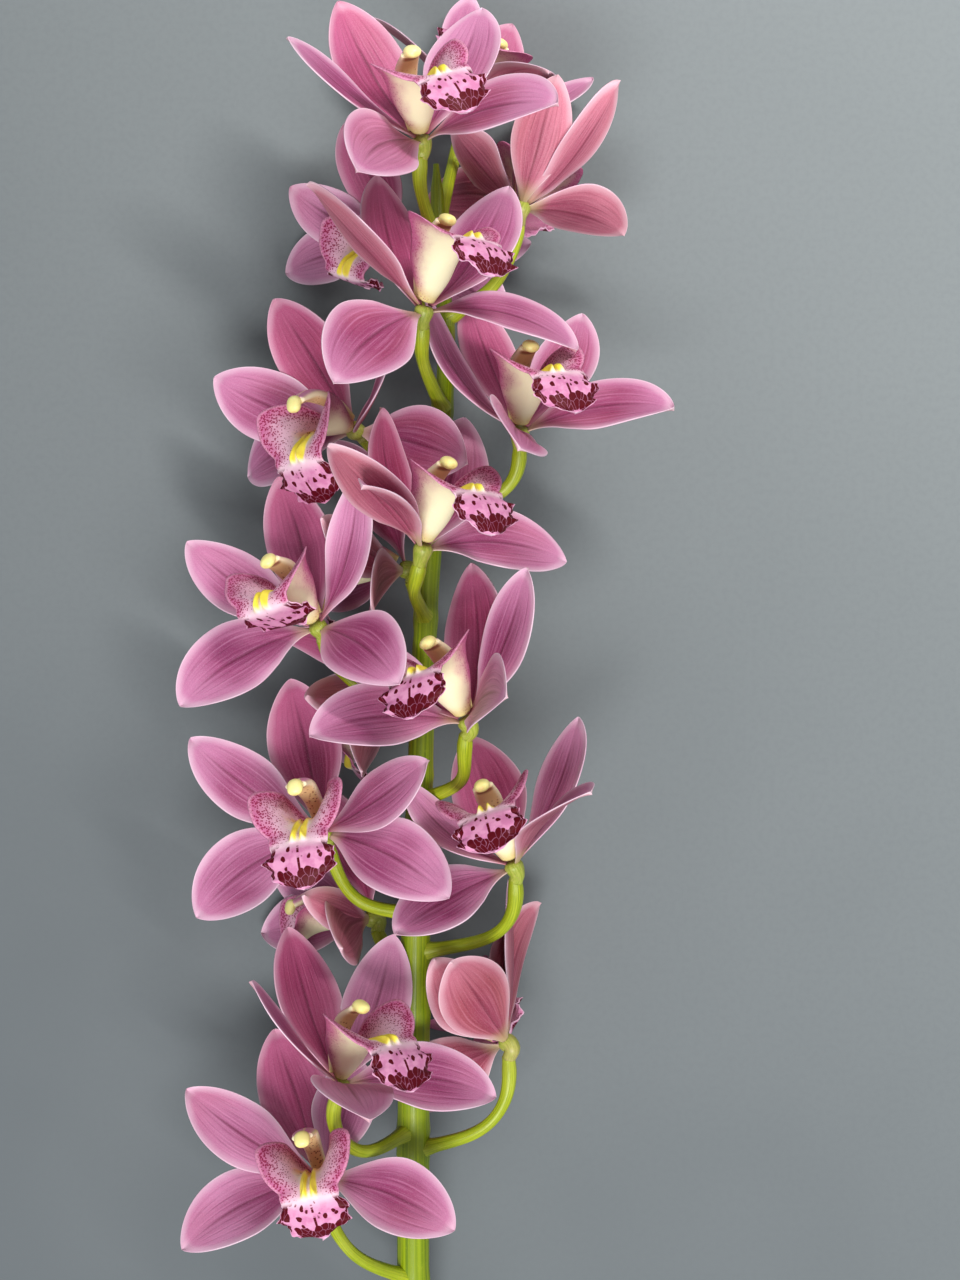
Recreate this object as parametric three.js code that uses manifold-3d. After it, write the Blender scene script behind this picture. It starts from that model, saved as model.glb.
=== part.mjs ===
// Cut flower stem of a pink standard cymbidium orchid, lying on a flat surface.
// Millimetres. +Y runs along the stem towards its tip, +Z is up from the surface,
// and +X is to the right of somebody who looks down on it with the tip away from them.
//
// One green body holds the main stem and every flower stalk with its ovary. Each bloom is
// three bodies: the tepals (three sepals and two petals on a small receptacle), the lip and
// the column. Every bloom comes from the same formulas, turned and bent by its own values.

import * as THREE from 'three';
import { mergeVertices } from 'three/addons/utils/BufferGeometryUtils.js';
import Module from 'manifold-3d';

// ---- driving dimensions, mm --------------------------------------------------------------

// where the stem's own zero point lies; it lifts the axis of the stem above the surface
const ORIGIN = { x: 20.4, y: 43.2, z: 51.6 };

const STEM = {                            // the main stem: route and radius from cut end to tip
  route: [
    [-26.5, -345, -45.6], [-26.5, -300, -39.6], [-26.5, -245, -27], [-26, -190, -14], [-25, -120, -4],
    [-23, -50, 0], [-20, 20, 1], [-15, 75, 1], [-13, 115, 0], [-16, 160, -2], [-17, 184, -4],
  ],
  radius: [6.4, 6.4, 6.3, 6.2, 5.9, 5.2, 4.7, 4.2, 3.8, 2.9, 2.5],
  sides: 10,
  steps: 14,
  halvings: 30,                           // of the search for the axis at a given height
};

const STALK = {                           // each flower's own stalk
  root: 2.9,
  middle: 2.9,
  neck: 3.5,                              // radius where the ovary meets the bloom
  straight: 9,                            // its last part, which runs straight into the bloom
  sides: 6,
  steps: 5,
};
const OVARY_END = 6;                      // from the middle of a bloom back to its stalk's end
const GAP = 0.3;                          // between pieces that touch

const HUB = { front: 3.2, radius: 5.6, sides: 6 };  // the small receptacle of a bloom

const TEPAL = {
  thick: 1.2,
  rows: [0.05, 0.29, 0.56, 0.84],         // along the blade, before its tip
  across: [-1, -0.5, 0, 0.5, 1],
  widest: 0.55,                           // where along the blade it is widest
  turned: 0.3,                            // where along the blade its turn is complete
  neck: 0.06,                             // width at the root, as a share of the full width
  swell: 1.7,                             // how late the blade widens from its root
  round: 2,                               // how round its shoulders are past the widest place
  point: 0.74,                            // how bluntly it ends
  slices: 24,                             // steps in which its bent midrib is added up
};
const KINDS = {
  dorsal: { length: 64, width: 29, azimuth: 0, lean: 35, curl: 12, sweep: 0, cup: 0.16, set: -0.6 },
  petal: { length: 63, width: 26, azimuth: 56, lean: 35, curl: 0, sweep: -24, cup: 0.1, set: 0.8 },
  lateral: { length: 61, width: 30, azimuth: 116, lean: -8, curl: -35, sweep: 20, cup: 0.16, set: -0.6 },
};

const LIP = {
  thick: 1.2,
  hinge: 4,                               // the station from which the midlobe may tuck back
  across: [-1, -0.55, 0, 0.55, 1],
  // stations from the root to the tip of the midlobe: the keel line (forward, down), the half
  // width, the rise of the side walls, how far the walls wrap round in degrees, and how far
  // their rims turn outwards
  stations: [
    { forward: 3.9, down: 1.5, half: 3.3, rise: 3, wrap: 100, flare: 0 },
    { forward: 12, down: 5.2, half: 7.2, rise: 10.8, wrap: 108, flare: 0.3 },
    { forward: 21, down: 8.9, half: 7.9, rise: 14, wrap: 100, flare: 2 },
    { forward: 26, down: 13, half: 9, rise: 12.4, wrap: 88, flare: 5.4 },
    { forward: 30, down: 18.5, half: 9.8, rise: 5, wrap: 80, flare: 4.2 },
    { forward: 31.3, down: 24, half: 11, rise: -1, wrap: 70, flare: 0 },
    { forward: 29.6, down: 29.2, half: 13.2, rise: -2.5, wrap: 70, flare: 0 },
    { forward: 25.8, down: 34.2, half: 11.5, rise: -2.5, wrap: 70, flare: 0 },
    { forward: 21, down: 38, half: 6, rise: -1, wrap: 70, flare: 0 },
  ],
};

const COLUMN = {
  // stations from the root to the tip: (forward, up), half width and half depth
  stations: [
    { forward: 4, up: 3.6, half: 3.1, deep: 2.2 },
    { forward: 13.5, up: 7, half: 3.6, deep: 2.4 },
    { forward: 26, up: 5.6, half: 4.8, deep: 2.3 },
    { forward: 34, up: 0.4, half: 4, deep: 1.7 },
  ],
  sides: 6,
  cap: { forward: 35, up: -1, radius: 3.3, flat: 0.8, around: 6, over: 3 },
};

const COLOURS = {
  green: { colour: 0x8fa52a, roughness: 0.45 },
  pink: { colour: 0xc0668f, roughness: 0.5 },
  cream: { colour: 0xeed9b4, roughness: 0.5 },
  column: { colour: 0xe8cfa0, roughness: 0.45 },
};

// ---- the blooms ---------------------------------------------------------------------------
// at: the middle of the bloom. tilt: how far its face leans from straight up, towards clock
// (degrees, 0 along +X, 90 along +Y). roll: turns it about its own face. size: its scale.
// joint: height along +Y where its stalk leaves the stem. way: points the stalk passes.
// enter: the direction in which the ovary runs into the bloom.
// tuck: how far the midlobe of its lip rolls back. Each tepal may change its azimuth, lean, curl,
// width, its turn about its own midrib and its length factor.

const BLOOMS = [
  {
    name: 'bloom_01', at: [-5, 206, -22.5], tilt: 80, clock: 64, roll: -25, size: 0.9,
    joint: 160, way: [], enter: [0.3, 0.9, 0.1],
    dorsal: { azimuth: -30, lean: 50, curl: 40 },
    left: { azimuth: -62, lean: 52, curl: 30 },
    right: { azimuth: 34, lean: 40, curl: 40 },
    lowLeft: { azimuth: -118, lean: 20 },
    lowRight: { azimuth: 122, lean: 32 },
  },
  {
    name: 'bloom_02', at: [-21.6, 185.3, 30], tilt: 58, clock: 97, roll: 28, size: 1,
    joint: 148, way: [], enter: [0.1, 0.9, 0.4],
    dorsal: { azimuth: -8, lean: 48, width: 31, curl: 36 },
    left: { azimuth: -62, lean: 46, curl: 20 },
    right: { azimuth: 61, lean: 32, width: 29 },
    lowLeft: { azimuth: -128, lean: 12, turn: -45 },
    lowRight: { azimuth: 146, lean: 18, turn: 18, width: 33 },
  },
  {
    name: 'bloom_03', at: [15.7, 165, 5], tilt: 127, clock: 72, roll: 180, size: 0.97, tuck: 60,
    joint: 124, way: [[6, 136, 2], [11, 146, 3]], enter: [0.15, 0.95, 0.1],
    dorsal: { azimuth: 2, lean: 32, width: 23, curl: 34, factor: 0.86 },
    left: { azimuth: -24, lean: 36, width: 20, curl: 34, turn: 35 },
    right: { azimuth: 86, lean: 38, factor: 0.75 },
    lowLeft: { azimuth: -108, lean: 25, factor: 0.82 },
    lowRight: { azimuth: 132, lean: 25, turn: 50, width: 25 },
  },
  {
    name: 'bloom_04', at: [-33, 155, -28.5], tilt: 33, clock: 158, roll: -88, size: 0.86, tuck: 60,
    joint: 118, way: [[-24, 134, -18]], enter: [-0.4, 0.8, 0.3],
    dorsal: { azimuth: -25, lean: 44, curl: 30 },
    left: { azimuth: -78, lean: 35, factor: 0.9 },
    right: { azimuth: 62, lean: -32 },
    lowLeft: { azimuth: -114, lean: 4 },
    lowRight: { azimuth: 104, lean: -27 },
  },
  {
    name: 'bloom_05', at: [-20.7, 121.4, 35], tilt: 77, clock: 76, roll: 37, size: 1,
    joint: 88, way: [[-21, 103, 20]], enter: [0.1, 0.9, 0.4],
    dorsal: { azimuth: -6, lean: 44, curl: 40 },
    left: { azimuth: -60, lean: 34, turn: 25 },
    right: { azimuth: 66, lean: 54, width: 29, curl: 36 },
    lowLeft: { azimuth: -119, lean: -26, width: 33, turn: -25 },
    lowRight: { azimuth: 122, lean: 0, curl: -50, turn: 20 },
  },
  {
    name: 'bloom_06', at: [-47.9, 80, 5], tilt: 41, clock: 158, roll: -64, size: 1, tuck: 20,
    joint: 60, way: [[-30, 64, 6]], enter: [-0.6, 0.5, 0.5],
    dorsal: { azimuth: -22, lean: 28, factor: 0.95 },
    left: { azimuth: -64, lean: 24, width: 28 },
    right: { azimuth: 80, lean: 35, factor: 0.8, turn: -25 },
    lowLeft: { azimuth: -95, lean: -3 },
    lowRight: { azimuth: 112, lean: -18, factor: 0.8, curl: 0 },
  },
  {
    name: 'bloom_07', at: [15.2, 78.8, 10], tilt: 66, clock: 84, roll: 30, size: 1,
    joint: 46, way: [[10, 57, 4]], enter: [0, 0.95, 0.3],
    dorsal: { azimuth: -1, lean: 38, width: 24 },
    left: { azimuth: -48, lean: 48, width: 24, curl: 50 },
    right: { azimuth: 52, lean: 34, curl: 20 },
    lowLeft: { azimuth: -150, lean: 14, turn: -40 },
    lowRight: { azimuth: 125, lean: 18, turn: 20 },
  },
  {
    name: 'bloom_08', at: [-21.1, 33.3, 35], tilt: 72, clock: 74, roll: 39, size: 1,
    joint: 8, way: [[-25, 18, 20]], enter: [0.2, 0.8, 0.4],
    dorsal: { azimuth: -19, lean: 52, width: 24, curl: 50, factor: 0.9 },
    left: { azimuth: -88, lean: 35, turn: 40 },
    right: { azimuth: 38, lean: 42, width: 29, curl: 40 },
    lowLeft: { azimuth: -112, lean: 30, width: 20 },
    lowRight: { azimuth: 102, lean: 4, turn: 30 },
  },
  {
    name: 'bloom_09', at: [-29.6, 27.6, -22], tilt: 85, clock: 173, roll: -90, size: 0.92,
    joint: -4, way: [[-24, 8, -14]], enter: [-0.4, 0.8, -0.1],
    dorsal: { azimuth: 0, lean: 36, curl: 36, turn: 45 },
    left: { azimuth: -70, lean: 46, curl: 16, factor: 0.82 },
    right: { azimuth: 72, lean: 38, width: 23 },
    lowLeft: { azimuth: -118, lean: 44, curl: -10, factor: 0.84 },
    lowRight: { azimuth: 110, lean: 14 },
  },
  {
    name: 'bloom_10', at: [-61.3, 4.5, 15], tilt: 62, clock: 124, roll: -30, size: 1, tuck: 90,
    joint: -24, way: [[-42, -21, 5]], enter: [-0.3, 0.8, 0.4],
    dorsal: { azimuth: -5, lean: 44, curl: 30 },
    left: { azimuth: -61, lean: 43, curl: 22 },
    right: { azimuth: 61, lean: 44, width: 20, curl: 30, turn: 40 },
    lowLeft: { azimuth: -125, lean: 8, turn: -40 },
    lowRight: { azimuth: 135, lean: -8 },
  },
  {
    name: 'bloom_11', at: [-31.6, -19.8, -22.5], tilt: 84, clock: 203, roll: -90, size: 0.92,
    joint: -52, way: [[-25, -40, -14]], enter: [-0.4, 0.8, -0.1],
    dorsal: { azimuth: 25, lean: 41, curl: 50, turn: 45 },
    left: { azimuth: -70, lean: 46, curl: 16, factor: 0.82 },
    right: { azimuth: 75, lean: 38, width: 24 },
    lowLeft: { azimuth: -118, lean: 44, curl: -10, factor: 0.84 },
    lowRight: { azimuth: 118, lean: 32 },
  },
  {
    name: 'bloom_12', at: [-4.8, -30.9, 30], tilt: 74, clock: 115, roll: -25, size: 1,
    joint: -62, way: [[-6, -53, 16]], enter: [0.1, 0.9, 0.4],
    dorsal: { azimuth: 16, lean: 50, curl: 40 },
    left: { azimuth: -65, lean: 40 },
    right: { azimuth: 67, lean: 45, curl: 20, turn: 30 },
    lowLeft: { azimuth: -123, lean: 24, turn: -40 },
    lowRight: { azimuth: 137, lean: 20, turn: 40 },
  },
  {
    name: 'bloom_13', at: [-59.4, -73.5, 10], tilt: 39, clock: 114, roll: -16, size: 1, tuck: -10,
    joint: -106, way: [[-48, -100, 3]], enter: [-0.2, 0.8, 0.5],
    dorsal: { azimuth: -6, lean: 20 },
    left: { azimuth: -52, lean: 28 },
    right: { azimuth: 80, lean: 24, factor: 0.85 },
    lowLeft: { azimuth: -110, lean: -10, turn: -20 },
    lowRight: { azimuth: 128, lean: -2 },
  },
  {
    name: 'bloom_14', at: [12.8, -85.5, 20], tilt: 76, clock: 111, roll: -5, size: 1,
    joint: -121, way: [[8, -112, 8]], enter: [-0.1, 0.9, 0.3],
    dorsal: { azimuth: -4, lean: 40, curl: 24 },
    left: { azimuth: -66, lean: 54, curl: 50, factor: 0.85, width: 22 },
    right: { azimuth: 56, lean: 38, curl: 24 },
    lowLeft: { azimuth: -106, lean: -4, factor: 0.85, curl: -10, turn: -30 },
    lowRight: { azimuth: 130, lean: 30 },
  },
  {
    name: 'bloom_15', at: [-43, -110, -22], tilt: 75, clock: 168, roll: -90, size: 0.94,
    joint: -146, way: [[-32, -130, -14]], enter: [-0.4, 0.8, -0.1],
    dorsal: { azimuth: 0, lean: 36, curl: 36, turn: 45 },
    left: { azimuth: -70, lean: 46, curl: 16, factor: 0.9 },
    right: { azimuth: 74, lean: 48, width: 18, curl: 30, factor: 0.8 },
    lowLeft: { azimuth: -118, lean: 44, curl: -10, factor: 0.9 },
    lowRight: { azimuth: 100, lean: 25, factor: 0.85, turn: 40 },
  },
  {
    name: 'bloom_16', at: [10.5, -156, -5], tilt: 128, clock: 140, roll: 180, size: 1, tuck: 80,
    joint: -200, way: [[4, -188, -4], [12, -174, -5]], enter: [-0.1, 0.95, -0.1],
    dorsal: { azimuth: -14, lean: 4 },
    left: { azimuth: -67, lean: 33, turn: 40 },
    right: { azimuth: -12, lean: 25, factor: 0.8, curl: 20, width: 25 },
    lowLeft: { azimuth: -97, lean: 36 },
    lowRight: { azimuth: 114, lean: 25, turn: 50 },
  },
  {
    name: 'bloom_17', at: [-52.4, -166.6, 25], tilt: 70, clock: 76, roll: 44, size: 1,
    joint: -191, way: [[-46, -196, 10], [-56, -184, 18]], enter: [0.3, 0.9, 0.4],
    dorsal: { azimuth: -2, lean: 42, curl: 24 },
    left: { azimuth: -72, lean: 45, curl: 20 },
    right: { azimuth: 50, lean: 47, curl: 50 },
    lowLeft: { azimuth: -150, lean: 22 },
    lowRight: { azimuth: 122, lean: 4, turn: 25 },
  },
  {
    name: 'bloom_18', at: [-60.2, -204.8, 10], tilt: 40, clock: 105, roll: -4, size: 0.98, tuck: 30,
    joint: -254, way: [[-50, -238, -6]], enter: [0, 0.8, 0.5],
    dorsal: { azimuth: -10, lean: 14 },
    left: { azimuth: -53, lean: 27 },
    right: { azimuth: 22, lean: 10, factor: 0.8 },
    lowLeft: { azimuth: -110, lean: 5 },
    lowRight: { azimuth: 121, lean: -8, factor: 0.94 },
  },
];

// ---- small helpers ------------------------------------------------------------------------

const wasm = await Module();
wasm.setup();

const radians = THREE.MathUtils.degToRad;
const vector = (list) => new THREE.Vector3(...list);

// A closed geometry from a list of points and faces of three or four corners.
function closedGeometry(points, faces) {
  const positions = new Float32Array(points.flatMap((point) => point.toArray()));
  const geometry = new THREE.BufferGeometry();
  geometry.setAttribute('position', new THREE.BufferAttribute(positions, 3));
  const triangles = faces.flatMap(([a, b, c, d]) => (d === undefined ? [a, b, c] : [a, b, c, a, c, d]));
  geometry.setIndex(triangles);
  return geometry;
}

function toSolid(geometry) {
  const plain = geometry.clone();
  plain.deleteAttribute('normal');
  plain.deleteAttribute('uv');
  const merged = mergeVertices(plain, 1e-4);
  return new wasm.Manifold(new wasm.Mesh({
    numProp: 3,
    vertProperties: new Float32Array(merged.attributes.position.array),
    triVerts: new Uint32Array(merged.index.array),
  }));
}

function toGeometry(solid) {
  const mesh = solid.getMesh();
  const geometry = new THREE.BufferGeometry();
  geometry.setAttribute('position', new THREE.BufferAttribute(new Float32Array(mesh.vertProperties), 3));
  geometry.setIndex(Array.from(mesh.triVerts));
  return geometry;
}

// Several bodies made one. A loose scrap left by the joining is dropped.
function joined(solids) {
  const pieces = solids.reduce((all, solid) => all.add(solid)).decompose();
  return pieces.sort((a, b) => b.volume() - a.volume())[0];
}

function toMesh(name, solid, { colour, roughness }) {
  const material = new THREE.MeshStandardMaterial({ color: colour, roughness, metalness: 0 });
  const mesh = new THREE.Mesh(toGeometry(solid), material);
  mesh.name = name;
  return mesh;
}

// A blade: a sheet of rows of points with one thickness, closed at its root and edges, and
// brought to a single point at its tip. Both faces are split into triangles alike.
function blade(rows, tip, thick) {
  const across = rows[0].length;
  const half = thick / 2;
  const points = [];
  for (const side of [half, -half]) {
    for (const row of rows) {
      for (const { point, normal } of row) points.push(point.clone().addScaledVector(normal, side));
    }
    points.push(tip.point.clone().addScaledVector(tip.normal, side));
  }
  const faceSize = rows.length * across + 1;
  const front = (row, column) => row * across + column;
  const back = (row, column) => faceSize + front(row, column);
  const frontTip = faceSize - 1;
  const backTip = 2 * faceSize - 1;
  const faces = [];
  for (let row = 0; row + 1 < rows.length; row += 1) {
    for (let column = 0; column + 1 < across; column += 1) {
      const corners = [[row, column], [row, column + 1], [row + 1, column + 1], [row + 1, column]];
      const [a, b, c, d] = corners.map((corner) => front(...corner));
      const [e, f, g, h] = corners.map((corner) => back(...corner));
      faces.push([a, b, c], [a, c, d], [e, g, f], [e, h, g]);
    }
  }
  const last = rows.length - 1;
  for (let column = 0; column + 1 < across; column += 1) {
    faces.push([front(last, column), front(last, column + 1), frontTip]);
    faces.push([back(last, column + 1), back(last, column), backTip]);
    faces.push([front(0, column + 1), front(0, column), back(0, column), back(0, column + 1)]);
  }
  for (let row = 0; row < last; row += 1) {
    faces.push([front(row, 0), front(row + 1, 0), back(row + 1, 0), back(row, 0)]);
    const edge = across - 1;
    faces.push([front(row + 1, edge), front(row, edge), back(row, edge), back(row + 1, edge)]);
  }
  faces.push([front(last, 0), frontTip, backTip, back(last, 0)]);
  faces.push([frontTip, front(last, across - 1), back(last, across - 1), backTip]);
  return toSolid(closedGeometry(points, faces));
}

// A closed tube through rings of points, each ring listed anticlockwise seen from its end.
function tube(rings) {
  const sides = rings[0].length;
  const points = rings.flat();
  const faces = [];
  for (let ring = 0; ring + 1 < rings.length; ring += 1) {
    for (let side = 0; side < sides; side += 1) {
      const next = (side + 1) % sides;
      const low = ring * sides;
      const high = low + sides;
      faces.push([low + side, low + next, high + next, high + side]);
    }
  }
  const lastRing = (rings.length - 1) * sides;
  for (let side = 1; side + 1 < sides; side += 1) {
    faces.push([0, side + 1, side]);
    faces.push([lastRing, lastRing + side, lastRing + side + 1]);
  }
  return toSolid(closedGeometry(points, faces));
}

// A tube of changing radius along a smooth curve.
function taperedTube(curve, steps, sides, radiusAt) {
  const frames = curve.computeFrenetFrames(steps, false);
  const rings = [];
  for (let step = 0; step <= steps; step += 1) {
    const centre = curve.getPointAt(step / steps);
    const radius = radiusAt(step / steps);
    const ring = [];
    for (let side = 0; side < sides; side += 1) {
      const angle = (2 * Math.PI * side) / sides;
      ring.push(centre.clone()
        .addScaledVector(frames.normals[step], radius * Math.cos(angle))
        .addScaledVector(frames.binormals[step], radius * Math.sin(angle)));
    }
    rings.push(ring);
  }
  return tube(rings);
}

// Linear reading of a list of values spread evenly over 0 to 1.
function readList(values, share) {
  const place = share * (values.length - 1);
  const index = Math.min(Math.floor(place), values.length - 2);
  return THREE.MathUtils.lerp(values[index], values[index + 1], place - index);
}

// ---- a bloom ------------------------------------------------------------------------------

// The three directions of a bloom: face (out of its throat), up (its dorsal sepal), side.
function bloomFrame({ tilt, clock, roll }) {
  const lean = radians(tilt);
  const round = radians(clock);
  const heading = new THREE.Vector3(Math.cos(round), Math.sin(round), 0);
  const upright = new THREE.Vector3(0, 0, 1);
  const face = heading.clone().multiplyScalar(Math.sin(lean)).addScaledVector(upright, Math.cos(lean));
  const away = heading.clone().multiplyScalar(Math.cos(lean)).addScaledVector(upright, -Math.sin(lean));
  const up = away.applyAxisAngle(face, radians(roll));
  const side = new THREE.Vector3().crossVectors(up, face);
  return { face, up, side };
}

// Half width of a tepal, as a share of its widest, at a place along the blade.
function tepalOutline(along) {
  if (along < TEPAL.widest) {
    const opening = Math.sin((Math.PI / 2) * (along / TEPAL.widest)) ** TEPAL.swell;
    return TEPAL.neck + (1 - TEPAL.neck) * opening;
  }
  const past = (along - TEPAL.widest) / (1 - TEPAL.widest);
  return Math.max(0, 1 - past ** TEPAL.round) ** TEPAL.point;
}

// The rows of points of one tepal from its root outwards, and its tip.
function tepalRows(bloom, frame, kind, changes = {}, mirror = 1) {
  const shape = { ...KINDS[kind], turn: 0, factor: 1, ...changes };
  const azimuth = changes.azimuth ?? shape.azimuth * mirror;
  const length = shape.length * shape.factor * bloom.size;
  const outwardAt = (share) => {
    const round = radians(azimuth + shape.sweep * mirror * (share - 0.5));
    return frame.up.clone().multiplyScalar(Math.cos(round)).addScaledVector(frame.side, Math.sin(round));
  };
  const centre = vector(bloom.at).addScaledVector(frame.face, shape.set * bloom.size);
  const at = (along) => {
    const point = centre.clone();
    for (let slice = 0; slice < TEPAL.slices; slice += 1) {
      const share = (along * (slice + 0.5)) / TEPAL.slices;
      const angle = radians(shape.lean + shape.curl * (share - 0.5));
      const step = (length * along) / TEPAL.slices;
      point.addScaledVector(outwardAt(share), step * Math.cos(angle));
      point.addScaledVector(frame.face, step * Math.sin(angle));
    }
    const angle = radians(shape.lean + shape.curl * (along - 0.5));
    const outward = outwardAt(along);
    const sideways = new THREE.Vector3().crossVectors(frame.face, outward);
    const inner = frame.face.clone().multiplyScalar(Math.cos(angle));
    inner.addScaledVector(outward, -Math.sin(angle));
    const turn = radians(shape.turn * Math.min(1, along / TEPAL.turned));
    const across = sideways.clone().multiplyScalar(Math.cos(turn)).addScaledVector(inner, Math.sin(turn));
    inner.multiplyScalar(Math.cos(turn)).addScaledVector(sideways, -Math.sin(turn));
    return { point, inner, across };
  };
  const rows = TEPAL.rows.map((along) => {
    const { point, inner, across } = at(along);
    const half = (shape.width * bloom.size * tepalOutline(along)) / 2;
    return TEPAL.across.map((share) => {
      const lift = shape.cup * half * share * share;
      return {
        point: point.clone().addScaledVector(across, -half * share).addScaledVector(inner, lift),
        normal: inner.clone().addScaledVector(across, 2 * shape.cup * share).normalize(),
      };
    });
  });
  const end = at(1);
  return { rows, tip: { point: end.point, normal: end.inner } };
}

function tepal(bloom, frame, kind, changes, mirror) {
  const { rows, tip } = tepalRows(bloom, frame, kind, changes, mirror);
  return blade(rows, tip, TEPAL.thick);
}

// A point of a bloom from its own coordinates: forward, up and to its side.
function bloomPoint(bloom, frame, forward, up, side) {
  return vector(bloom.at)
    .addScaledVector(frame.face, forward * bloom.size)
    .addScaledVector(frame.up, up * bloom.size)
    .addScaledVector(frame.side, side * bloom.size);
}

function ringRound(bloom, frame, forward, up, halfSide, halfUp, sides, axis) {
  const ring = [];
  for (let index = 0; index < sides; index += 1) {
    const angle = (2 * Math.PI * index) / sides;
    const rise = halfUp * Math.sin(angle);
    const aside = halfSide * Math.cos(angle);
    ring.push(bloomPoint(bloom, frame, forward - rise * axis.up, up + rise * axis.forward, aside));
  }
  return ring;
}

// The receptacle: a short drum behind the lip and column that narrows to the neck of the ovary.
function receptacle(bloom, frame) {
  const straight = { forward: 1, up: 0 };
  const [back, front] = [-HUB.front, HUB.front].map((forward) => (
    ringRound(bloom, frame, forward, 0, HUB.radius, HUB.radius, HUB.sides, straight)));
  const enter = vector(bloom.enter).normalize();
  const end = vector(bloom.at).addScaledVector(enter, -OVARY_END);
  const centre = vector(bloom.at).addScaledVector(frame.face, -HUB.front * bloom.size);
  const neck = back.map((point) => (
    point.clone().sub(centre).projectOnPlane(enter).setLength(STALK.neck).add(end)));
  return tube([neck, back, front]);
}

function tepals(bloom) {
  const frame = bloomFrame(bloom);
  return joined([
    receptacle(bloom, frame),
    tepal(bloom, frame, 'dorsal', bloom.dorsal),
    tepal(bloom, frame, 'petal', bloom.left, -1),
    tepal(bloom, frame, 'petal', bloom.right, 1),
    tepal(bloom, frame, 'lateral', bloom.lowLeft, -1),
    tepal(bloom, frame, 'lateral', bloom.lowRight, 1),
  ]);
}

// The stations of a lip, its midlobe tucked back by some degrees.
function lipStations(tuck = 0) {
  const hinge = LIP.stations[LIP.hinge];
  return LIP.stations.map((station, index) => {
    const angle = radians(tuck * THREE.MathUtils.clamp((index - LIP.hinge) / 2, 0, 1));
    const forward = station.forward - hinge.forward;
    const down = station.down - hinge.down;
    return {
      ...station,
      forward: hinge.forward + forward * Math.cos(angle) - down * Math.sin(angle),
      down: hinge.down + down * Math.cos(angle) + forward * Math.sin(angle),
    };
  });
}

function lipRows(bloom, frame) {
  const stations = lipStations(bloom.tuck);
  return stations.map((station, index) => {
    const before = stations[Math.max(index - 1, 0)];
    const after = stations[Math.min(index + 1, stations.length - 1)];
    const forward = after.forward - before.forward;
    const down = after.down - before.down;
    const long = Math.hypot(forward, down);
    const inward = { forward: down / long, up: forward / long };
    const wrap = radians(station.wrap);
    return LIP.across.map((share) => {
      const angle = wrap * share;
      const wide = station.half / Math.sin(Math.min(wrap, Math.PI / 2));
      const side = wide * Math.sin(angle) + station.flare * share ** 3;
      const rise = (station.rise * (1 - Math.cos(angle))) / (1 - Math.cos(wrap));
      const slopeSide = wide * Math.cos(angle) + (3 * station.flare * share * share) / wrap;
      const slopeRise = (station.rise * Math.sin(angle)) / (1 - Math.cos(wrap));
      const normal = new THREE.Vector3()
        .addScaledVector(frame.side, -slopeRise)
        .addScaledVector(frame.face, slopeSide * inward.forward)
        .addScaledVector(frame.up, slopeSide * inward.up)
        .normalize();
      const point = bloomPoint(
        bloom, frame,
        station.forward + rise * inward.forward, -station.down + rise * inward.up, side,
      );
      return { point, normal };
    });
  });
}

function lip(bloom) {
  const rows = lipRows(bloom, bloomFrame(bloom)).map((row) => row.reverse());
  const last = rows.pop();
  const middle = last[(last.length - 1) / 2];
  return blade(rows, middle, LIP.thick);
}

function column(bloom) {
  const frame = bloomFrame(bloom);
  const { stations, sides, cap } = COLUMN;
  const rings = stations.map((station, index) => {
    const before = stations[Math.max(index - 1, 0)];
    const after = stations[Math.min(index + 1, stations.length - 1)];
    const forward = after.forward - before.forward;
    const up = after.up - before.up;
    const long = Math.hypot(forward, up);
    const axis = index === 0 ? { forward: 1, up: 0 } : { forward: forward / long, up: up / long };
    return ringRound(bloom, frame, station.forward, station.up, station.half, station.deep, sides, axis);
  });
  const ball = new THREE.SphereGeometry(cap.radius * bloom.size, cap.around, cap.over);
  ball.scale(1, 1, cap.flat);
  const basis = new THREE.Matrix4().makeBasis(frame.side, frame.up, frame.face);
  ball.applyMatrix4(basis.setPosition(bloomPoint(bloom, frame, cap.forward, cap.up, 0)));
  return joined([tube(rings), toSolid(ball)]);
}

// ---- the stem and its stalks --------------------------------------------------------------

const stemCurve = new THREE.CatmullRomCurve3(STEM.route.map(vector), false, 'centripetal');

// The point of the stem's axis at a height along +Y.
function stemAt(height) {
  let low = 0;
  let high = 1;
  for (let step = 0; step < STEM.halvings; step += 1) {
    const middle = (low + high) / 2;
    if (stemCurve.getPoint(middle).y < height) low = middle;
    else high = middle;
  }
  return stemCurve.getPoint(low);
}

function stalk(bloom) {
  const enter = vector(bloom.enter).normalize();
  const end = vector(bloom.at).addScaledVector(enter, -(OVARY_END + GAP));
  const before = end.clone().addScaledVector(enter, -STALK.straight);
  const points = [stemAt(bloom.joint), ...bloom.way.map(vector), before, end];
  const curve = new THREE.CatmullRomCurve3(points, false, 'centripetal');
  const radii = [STALK.root, STALK.middle, STALK.middle, STALK.neck];
  return taperedTube(curve, STALK.steps, STALK.sides, (share) => readList(radii, share));
}

function flowerStem() {
  const radiusAt = (share) => readList(STEM.radius, share);
  const main = taperedTube(stemCurve, STEM.steps, STEM.sides, radiusAt);
  return joined([main, ...BLOOMS.map(stalk)]);
}

// ---- the part -----------------------------------------------------------------------------

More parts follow.
